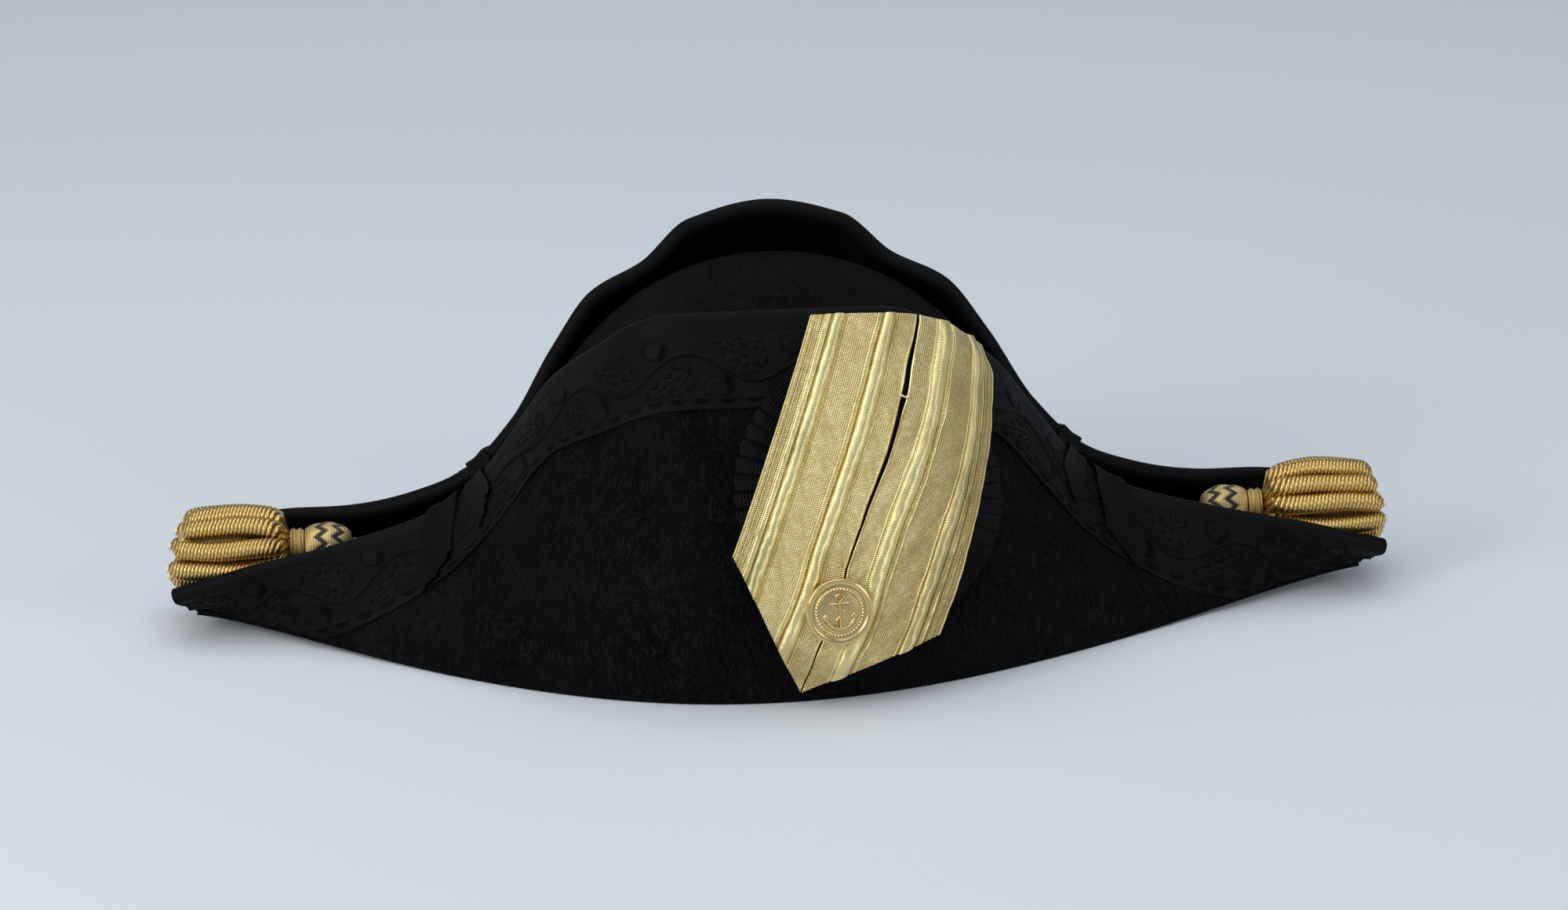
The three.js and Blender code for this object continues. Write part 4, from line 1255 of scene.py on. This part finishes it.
def makeGoldLace():
    material, tree, shader = newMaterial("goldLace", 0.36, Metallic=0.9)
    masks = {name: readMask(tree, name) for name in ("inset", "along", "ridge", "cord", "dull")}
    cells = placeGroup(tree, cellGroup, across=masks["inset"], along=masks["along"], size=0.00072)
    threads = remap(tree, humps(tree, masks["along"], 0.0005), 0, 1, 0.55, 0.85)
    height = mixFloat(tree, masks["ridge"], cells["height"], threads)
    height = addMath(tree, "MAXIMUM", height, masks["cord"])
    place = objectPlace(tree)
    cloud = noise(tree, place, 70.0, 7.0)
    mottle = noise(tree, place, 520.0, 3.0)
    away = addMath(tree, "ABSOLUTE", addMath(tree, "SUBTRACT", masks["inset"], greenStripe["middle"]))
    stripe = addMath(tree, "SUBTRACT", 1.0, addMath(tree, "DIVIDE", away, greenStripe["half"]), clamp=True)
    green = addMath(tree, "MULTIPLY", stripe, remap(tree, cloud, 0.44, 0.6, 0.05, 1.0))
    # the raised cells and threads are painted bright gold and the hollows dark brown: painted highlight and
    # painted shade
    base = mixColours(tree, remap(tree, height, 0.1, 0.85), (0.32, 0.18, 0.045), (1.0, 0.83, 0.385))
    for share, tone in (
            # the cords painted brighter: painted highlight on the raised threads
            (masks["cord"], (1.0, 0.84, 0.42)),
            (remap(tree, mottle, 0.45, 0.72, 0, 0.5), (1.0, 0.88, 0.52)),
            (remap(tree, cloud, 0.5, 0.7, 0, 0.4), (0.46, 0.32, 0.10)),
            # painted shade on the front leg's outer side
            (addMath(tree, "MULTIPLY", masks["dull"], 0.6), (0.36, 0.25, 0.085)),
            (addMath(tree, "MULTIPLY", green, 0.5), (0.33, 0.40, 0.22))):
        base = mixColours(tree, share, base, tone)
    dress(tree, shader, height, 0.00026, 0.9, Base_Color=base, Roughness=remap(tree, height, 0, 1, 0.5, 0.22))
    return material


goldLace = makeGoldLace()
makeLoopLeg(-1, "loopRearLeg", "loop_rear_leg")
makeLoopLeg(1, "loopFrontLeg", "loop_front_leg")
makeLoopBacking()


# the stitch that holds the two legs together part way up the slit
def makeStitch():
    def shape(u, v):
        angle = -u * 2 * math.pi
        across = (v - 0.5) * 0.0034
        lift = goldLoop["legLift"] + 0.0012 + 0.0005 * np.sin(v * math.pi)
        spot, _ = onLoop(across, v * 0 + goldLoop["stitchShare"], lift)
        side = 0.0004 * np.cos(angle)
        rise = 0.0004 * np.sin(angle)
        return spot + np.stack([side * 0.4, -rise, side], -1)

    piece = addCloth("loopStitch", 12, 14, shape, (0.003, 0.004))
    storeMasks(piece, ridge=0, along=0, cord=1, inset=goldLoop["stitchInset"])
    sealTube(piece)
    return finishPiece(piece, goldLace, "hat", "gold_lace")


makeStitch()

print("button")
turnJoint = next(joint for joint in frame["record"]["behaviour"]["joints"] if joint["name"] == "button_turn")
button = {
    "radius": 0.0115,
    "seat": 0.0103,
    "relief": 0.0006,
}


def anchorRelief(a, b):
    r = button["radius"]
    a, b = a / r, b / r

    def bar(distance, half, soft=0.03):
        return clamp((half - distance) / soft)

    shank = bar(np.abs(a), 0.055) * (b < 0.34) * (b > -0.52)
    stock = bar(np.hypot(np.maximum(0, np.abs(a) - 0.26), b - 0.27), 0.045)
    ring = bar(np.abs(np.hypot(a, b - 0.44) - 0.1), 0.035)
    arms = bar(np.abs(np.hypot(a, b + 0.06) - 0.44), 0.055) * (b < -0.16)
    flukes = bar(np.abs(np.abs(a) - 0.42) * 1.1 + np.abs(b + 0.13), 0.13)
    rope = clamp((0.035 - np.abs(a - 0.13 * np.sin(b * 7 + 0.6))) / 0.03) * (np.abs(b) < 0.5) * 0.8
    ground = 0.1 * np.sin(a * 60) * np.sin(b * 60) * (np.hypot(a, b) < 0.66)
    edge = clamp((0.05 - np.abs(np.hypot(a, b) - 0.7)) / 0.04)
    twist = 0.6 + 0.4 * np.sin(np.arctan2(b, a) * 44)
    return np.maximum.reduce([shank, stock, ring, arms, flukes, rope, edge * twist]) + ground


def makeButtonShell():
    r = button["radius"]
    # share of the radius, and height in millimetres
    profile = [(0, 3.1), (0.45, 2.95), (0.78, 2.45), (0.8, 2.45), (0.83, 2.75), (0.86, 2.95), (0.93, 3.0),
               (0.98, 2.7), (1, 2.1), (1, 1.5), (0.97, 0.8), (0.9, 0.45), (0.85, 0.35), (0.8, 0.5), (0, 0.6)]
    lengths = np.concatenate([[0], np.cumsum([math.hypot((b[0] - a[0]) * r, (b[1] - a[1]) * 0.001)
                                              for a, b in zip(profile, profile[1:])])])
    out = unit(np.array(turnJoint["axis"], float))
    foot = np.array(turnJoint["pos_m"], float)
    side = unit(np.cross((0, 0, 1.0), out))
    up = np.cross(out, side)

    def shape(u, v):
        turn = u * 2 * math.pi
        corners = [0, lengths[2] / lengths[-1], lengths[7] / lengths[-1], lengths[13] / lengths[-1], 1]
        passed = np.interp(v, [0, 0.62, 0.86, 0.94, 1], corners) * lengths[-1]
        radius = np.interp(passed, lengths, [p[0] * r for p in profile])
        height = np.interp(passed, lengths, [p[1] * 0.001 for p in profile])
        a, b = radius * np.cos(turn), radius * np.sin(turn)
        relief = anchorRelief(a, b) * button["relief"] * (radius < 0.78 * r) * (v < 0.66)
        height = height + relief + button["seat"]
        return foot + a[:, None] * side + b[:, None] * up + height[:, None] * out

    piece = addCloth("buttonShell", 180, 110, shape, (0.07, 0.02))
    editAll(piece, mergeDoubles, facesOut)
    smoothShading(piece, 40)
    return finishPiece(piece, gilt, "button", "gilt_brass", "button_shell")


def makeGilt():
    material, tree, shader = newMaterial("gilt", 0.25, Metallic=1.0)
    cloud = noise(tree, objectPlace(tree), 320.0, 5.0)
    cavity = addNode(tree, "ShaderNodeNewGeometry").outputs["Pointiness"]
    base = mixColours(tree, remap(tree, cavity, 0.44, 0.53), (0.32, 0.20, 0.07), (0.88, 0.66, 0.31))
    base = mixColours(tree, remap(tree, cloud, 0.55, 0.75, 0, 0.4), base, (0.54, 0.38, 0.16))
    dress(tree, shader, cloud, 0.00003, 0.4, Base_Color=base,
          Roughness=remap(tree, cloud, 0.3, 0.7, 0.2, 0.38))
    return material


gilt = makeGilt()
makeButtonShell()
recolour(gilt, "button_back", "button_shank", "button_ring")

print("tassels")
tassel = {
    "end": topReach + 0.003,
    "bullions": 10,
    "bullionLength": 0.043,
    "bullionRadius": 0.00345,
    "collarLength": 0.005,
    "headLength": 0.017,
    "headRadius": 0.0076,
    "cordRadius": 0.0016,
    "coilPitch": 0.00128,
    "coilRise": 0.0004,
    "starts": 4,
    "beads": 11,
    "tipRadius": 0.0014,
    # bullions whose rounded tips carry a painted glint
    "threadEnds": (4, 5, 7, 9),
    "topShort": {"front": 0.08, "rear": 0.16},
    "tarnish": 0.1,
}
tassel["bullionStart"] = tassel["end"] - tassel["bullionLength"]
tassel["collarStart"] = tassel["bullionStart"] - hat["seatGap"] - tassel["collarLength"]
tassel["headStart"] = tassel["collarStart"] - hat["seatGap"] - tassel["headLength"]
coreLow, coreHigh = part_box("front_tassel_core")
tassel["height"] = (coreLow.z + coreHigh.z) / 2
tasselRing = hat["tasselRadius"] - tassel["bullionRadius"]
bullionSpread = throughStations([0, 0.06, 0.22, 0.5, 0.82, 1], [0.36, 0.74, 0.94, 1.04, 0.96, 0.84])


def atEnd(points, side):
    return np.stack([points[:, 0] * side, middleY + points[:, 1] * side, points[:, 2]], -1)


# a point on a round piece that lies along a tassel
def onTube(along, radius, u, height, side):
    angle = -u * 2 * math.pi
    return atEnd(np.stack([along, radius * np.cos(angle), height + radius * np.sin(angle)], -1), side)


def makeBullion(end, side, number):
    rng = np.random.default_rng(number + (50 if side > 0 else 0))
    turn = 2 * math.pi * (number + 0.5) / tassel["bullions"]
    out = np.array([0, math.cos(turn), math.sin(turn)])
    flank = np.array([0, -math.sin(turn), math.cos(turn)])
    sway = rng.uniform(-0.0009, 0.0009, 2)
    phase = rng.uniform(0, 6.28)
    pitch = tassel["coilPitch"] * rng.uniform(0.95, 1.06)
    threadShows = number in tassel["threadEnds"]
    tipRadius = tassel["tipRadius"] * (1.0 if threadShows else 0.6)
    short = tassel["topShort"][end] * max(0, math.sin(turn))
    length = tassel["bullionLength"] * (1 - short - rng.uniform(0, 0.02))
    made = {}

    def shape(u, v):
        angle = -u * 2 * math.pi
        share = clamp(v / 0.96)
        tip = clamp((v - 0.96) / 0.04)
        along = share * length
        ring = tasselRing * bullionSpread(share)
        room = ring * math.sin(math.pi / tassel["bullions"]) * 1.12
        rounded = np.sqrt(clamp(share / 0.025)) * np.sqrt(
            np.maximum(0, 1 - clamp((share - 0.92) / 0.08) ** 2 * 0.9))
        wavy = 1.04 + 0.04 * np.sin(share * 5 + phase)
        radius = np.minimum(tassel["bullionRadius"] * wavy, room) * rounded
        loose = clamp(1 - share / 0.3)
        turns = along / pitch + 3.0 * loose ** 2 + tassel["starts"] * u + phase
        coil = np.abs(np.sin(math.pi * turns)) ** 0.8
        bead = np.abs(np.sin(math.pi * (u * tassel["beads"] + np.floor(turns) * 0.5))) ** 0.7
        # the crest mask also sets the colour: bright on the coil's crests, dark in its gaps, a painted
        # highlight and painted shade
        crest = coil * (1 - (0.45 - 0.4 * loose) * (1 - bead))
        radius = radius - tassel["coilRise"] * (1 + 1.6 * loose) * (1 - crest) * (tip <= 0) * rounded
        radius = np.where(tip > 0, tipRadius * np.sqrt(np.maximum(0, 1 - tip ** 3)), radius)
        swell = np.sin(share * math.pi) ** 2
        centre = (out * (ring + sway[0] * swell)[:, None]
                  + flank * (sway[1] * swell + 0.0006 * np.sin(share * 7 + phase) * share)[:, None])
        reach = tassel["bullionStart"] + along + tipRadius * (1.1 if threadShows else 0.4) * tip
        made["crest"], made["tip"] = np.where(tip > 0, 0.8, crest), (tip > 0) * float(threadShows)
        points = (np.stack([reach, reach * 0, reach * 0 + tassel["height"]], -1) + centre
                  + flank * (radius * np.cos(angle))[:, None] + out * (radius * np.sin(angle))[:, None])
        return atEnd(points, side)

    piece = addCloth(f"{end}Bullion{number + 1}", 40, 210, shape, (0.022, 0.044))
    storeMasks(piece, thread=made["tip"], crest=made["crest"], tarnish=tassel["tarnish"])
    sealTube(piece, 70)
    return finishPiece(piece, bullionWire, f"{end}_tassel", "bullion", f"{end}_bullion_{number + 1}")


def makeBullionWire():
    material, tree, shader = newMaterial("bullionWire", 0.32, Metallic=0.95)
    crest, thread, tarnish = (readMask(tree, name) for name in ("crest", "thread", "tarnish"))
    place = objectPlace(tree)
    cloud = noise(tree, place, 160.0, 4.0)
    # coil crests painted bright gold and the gaps between turns dark brown: painted highlight and painted
    # shade
    base = mixColours(tree, remap(tree, crest, 0.25, 0.95), (0.20, 0.095, 0.016), (1.0, 0.70, 0.25))
    base = mixColours(tree, remap(tree, cloud, 0.48, 0.72, 0, 0.35), base, (0.50, 0.31, 0.09))
    base = mixColours(tree, addMath(tree, "MULTIPLY", tarnish, 0.6), base, (0.34, 0.20, 0.05))
    # some bullion tips are painted pale and not metallic: painted glints on the wire ends
    base = mixColours(tree, thread, base, (0.80, 0.77, 0.70))
    dress(tree, shader, noise(tree, place, 2200.0, 2.0), 0.00008, 0.6, Base_Color=base,
          Metallic=addMath(tree, "SUBTRACT", 0.95, thread, clamp=True),
          Roughness=remap(tree, crest, 0.2, 1, 0.5, 0.26))
    return material


def makeThreadWork():
    material, tree, shader = newMaterial("threadWork", 0.4, Metallic=0.8)
    zigzag = readMask(tree, "zigzag")
    parts = uvParts(tree)
    slant = addMath(tree, "ADD", parts[0], addMath(tree, "MULTIPLY", parts[1], 0.6))
    strands = humps(tree, slant, 0.0007)
    # the slanting strands are painted bright gold and the gaps between them dark: painted highlight and
    # painted shade
    base = mixColours(tree, strands, (0.32, 0.19, 0.05), (0.85, 0.64, 0.28))
    base = mixColours(tree, zigzag, base, (0.006, 0.006, 0.007))
    dress(tree, shader, strands, 0.00015, 0.8, Base_Color=base,
          Metallic=addMath(tree, "SUBTRACT", 0.8, zigzag, clamp=True))
    return material


bullionWire = makeBullionWire()
threadWork = makeThreadWork()


def makeTurned(end, side, name, profile, grid, ridge, pitch, figure=None, slot="bullion"):
    places = np.array([along for _, along in profile])
    radii = throughStations(places, [radius for radius, _ in profile])
    mask = {}

    def shape(u, v):
        along = places[0] + (places[-1] - places[0]) * v
        radius = radii(along) * (1 - ridge * np.abs(np.cos(math.pi * (along / pitch))))
        mask["zigzag"] = figure(u, v) if figure else u * 0
        return onTube(along, radius * (1 - 0.04 * mask["zigzag"]), u, tassel["height"], side)

    piece = addCloth(end + name, *grid, shape, (0.045, places[-1] - places[0]))
    storeMasks(piece, zigzag=mask["zigzag"])
    sealTube(piece)
    return finishPiece(piece, threadWork, f"{end}_tassel", slot, f"{end}_tassel_{name[6:].lower()}")


def headFigure(u, v):
    saw = np.abs(np.mod(u * 9, 1) * 2 - 1)
    lines = [clamp(2.2 - np.abs(v - level - 0.17 * saw) / 0.045) for level in (0.2, 0.56)]
    return np.maximum(*lines) * (v > 0.08) * (v < 0.92)


def makeTasselCord(end, side):
    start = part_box(f"{end}_tassel_cord")[0 if side > 0 else 1].x * side
    stop = tassel["headStart"] - hat["seatGap"]
    anchor = 0.014
    xs = np.array([start, start + 0.008, stop - 0.008, stop])
    zs = np.array([anchor, anchor + 0.0005, tassel["height"] - 0.0008, tassel["height"]])
    rise = throughStations(xs, zs)

    def shape(u, v):
        along = start + (stop - start) * v
        angle = -u * 2 * math.pi
        lay = np.abs(np.cos(angle * 1.5 + along * 2 * math.pi / 0.006))
        return onTube(along, tassel["cordRadius"] * (0.78 + 0.22 * lay), u, rise(along), side)

    piece = addCloth(end + "TasselCord", 24, 90, shape, (0.01, stop - start))
    storeMasks(piece, zigzag=0)
    sealTube(piece)
    finishPiece(piece, threadWork, f"{end}_tassel", "bullion", f"{end}_tassel_cord")
    line = np.linspace(start, stop, 16)
    path = atEnd(np.stack([line, line * 0, rise(line)], -1), side)
    length = float(np.linalg.norm(np.diff(path, axis=0), axis=1).sum())
    return piece, path, length


for end, side in (("front", 1), ("rear", -1)):
    for number in range(tassel["bullions"]):
        makeBullion(end, side, number)
    r, start, length = tassel["headRadius"], tassel["headStart"], tassel["headLength"]
    head = makeTurned(end, side, "TasselHead", [
        (0.0006, start), (r * 0.5, start + length * 0.05), (r * 0.82, start + length * 0.22),
        (r, start + length * 0.5), (r * 0.95, start + length * 0.75), (r * 0.72, start + length * 0.99),
        (r * 0.6, start + length)], (108, 70), 0.02, 0.0009, headFigure)
    r, start, length = tassel["headRadius"] * 0.8, tassel["collarStart"], tassel["collarLength"]
    makeTurned(end, side, "TasselCollar", [
        (r * 0.85, start), (r, start + length * 0.25), (r * 0.9, start + length * 0.5),
        (r, start + length * 0.75), (r * 0.85, start + length)], (72, 40), 0.07, 0.0009)
    r = tasselRing - tassel["bullionRadius"] - 0.001
    start, stop = tassel["bullionStart"] + tassel["bullionLength"] * 0.34, tassel["end"] - 0.004
    makeTurned(end, side, "TasselCore", [
        (r * 0.8, start), (r, start + 0.004), (r, stop - 0.004), (r * 0.8, stop)],
        (60, 90), 0.06, 0.001, slot="tassel_core")
    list(makeTasselCord(end, side))

print("lining and sweatband")


def makeSatin():
    material, tree, shader = newMaterial("satin", 0.38, Sheen_Weight=0.2)
    place = objectPlace(tree)
    cloud = remap(tree, noise(tree, place, 30.0, 5.0), 0.4, 0.75)
    dress(tree, shader, noise(tree, place, 2200.0, 1.0), 0.00005, 0.5,
          Base_Color=mixColours(tree, cloud, (0.62, 0.56, 0.45), (0.47, 0.39, 0.28)))
    return material


def makeLeather():
    material, tree, shader = newMaterial("tanLeather", 0.5)
    place = objectPlace(tree)
    grain = addNode(tree, "ShaderNodeTexVoronoi", {"Vector": place, "Scale": 900.0}).outputs[0]
    wear = noise(tree, place, 40.0, 6.0)
    base = mixColours(tree, remap(tree, wear, 0.4, 0.7), (0.17, 0.075, 0.03), (0.09, 0.035, 0.013))
    dress(tree, shader, grain, 0.00015, 0.5, Base_Color=base,
          Roughness=remap(tree, wear, 0.3, 0.7, 0.38, 0.6))
    return material


satin = makeSatin()
tanLeather = makeLeather()
opening = {
    "liningInset": 0.003,
    "bandInset": 0.004,
    "joinHeight": 0.092,
    "bandHeight": 0.048,
    "bandFoot": 0.0008,
    "reedHeight": 0.004,
    "join": 0.0003,
}
reedTop = opening["bandFoot"] + opening["reedHeight"]
satinLook = (satin, "satin")
leatherLook = (tanLeather, "sweatband_leather")
liningSide = makeDomePiece(
    "liningSide", "lining_side", opening["liningInset"], 0.0005,
    (reedTop + opening["join"], opening["joinHeight"]), satinLook, (0.52, 0.09), 0.004, 36)
liningTip = makeDomePiece(
    "liningTip", "lining_tip", opening["liningInset"], 0.0005,
    (opening["joinHeight"] + opening["join"], hat["crownHeight"] - opening["liningInset"]), satinLook,
    (0.4, 0.09), 0.003, 36, 40)
makeDomePiece("sweatbandLeather", "sweatband", opening["bandInset"], 0.0012,
              (opening["bandFoot"], opening["bandHeight"]), leatherLook, (0.53, 0.048))
makeDomePiece("sweatbandReed", "sweatband_reed", opening["liningInset"], 0.0007,
              (opening["bandFoot"], reedTop), leatherLook, (0.53, 0.004), rows=8)
recolour(silkRibbon, "right_fan_wire", "left_fan_wire")
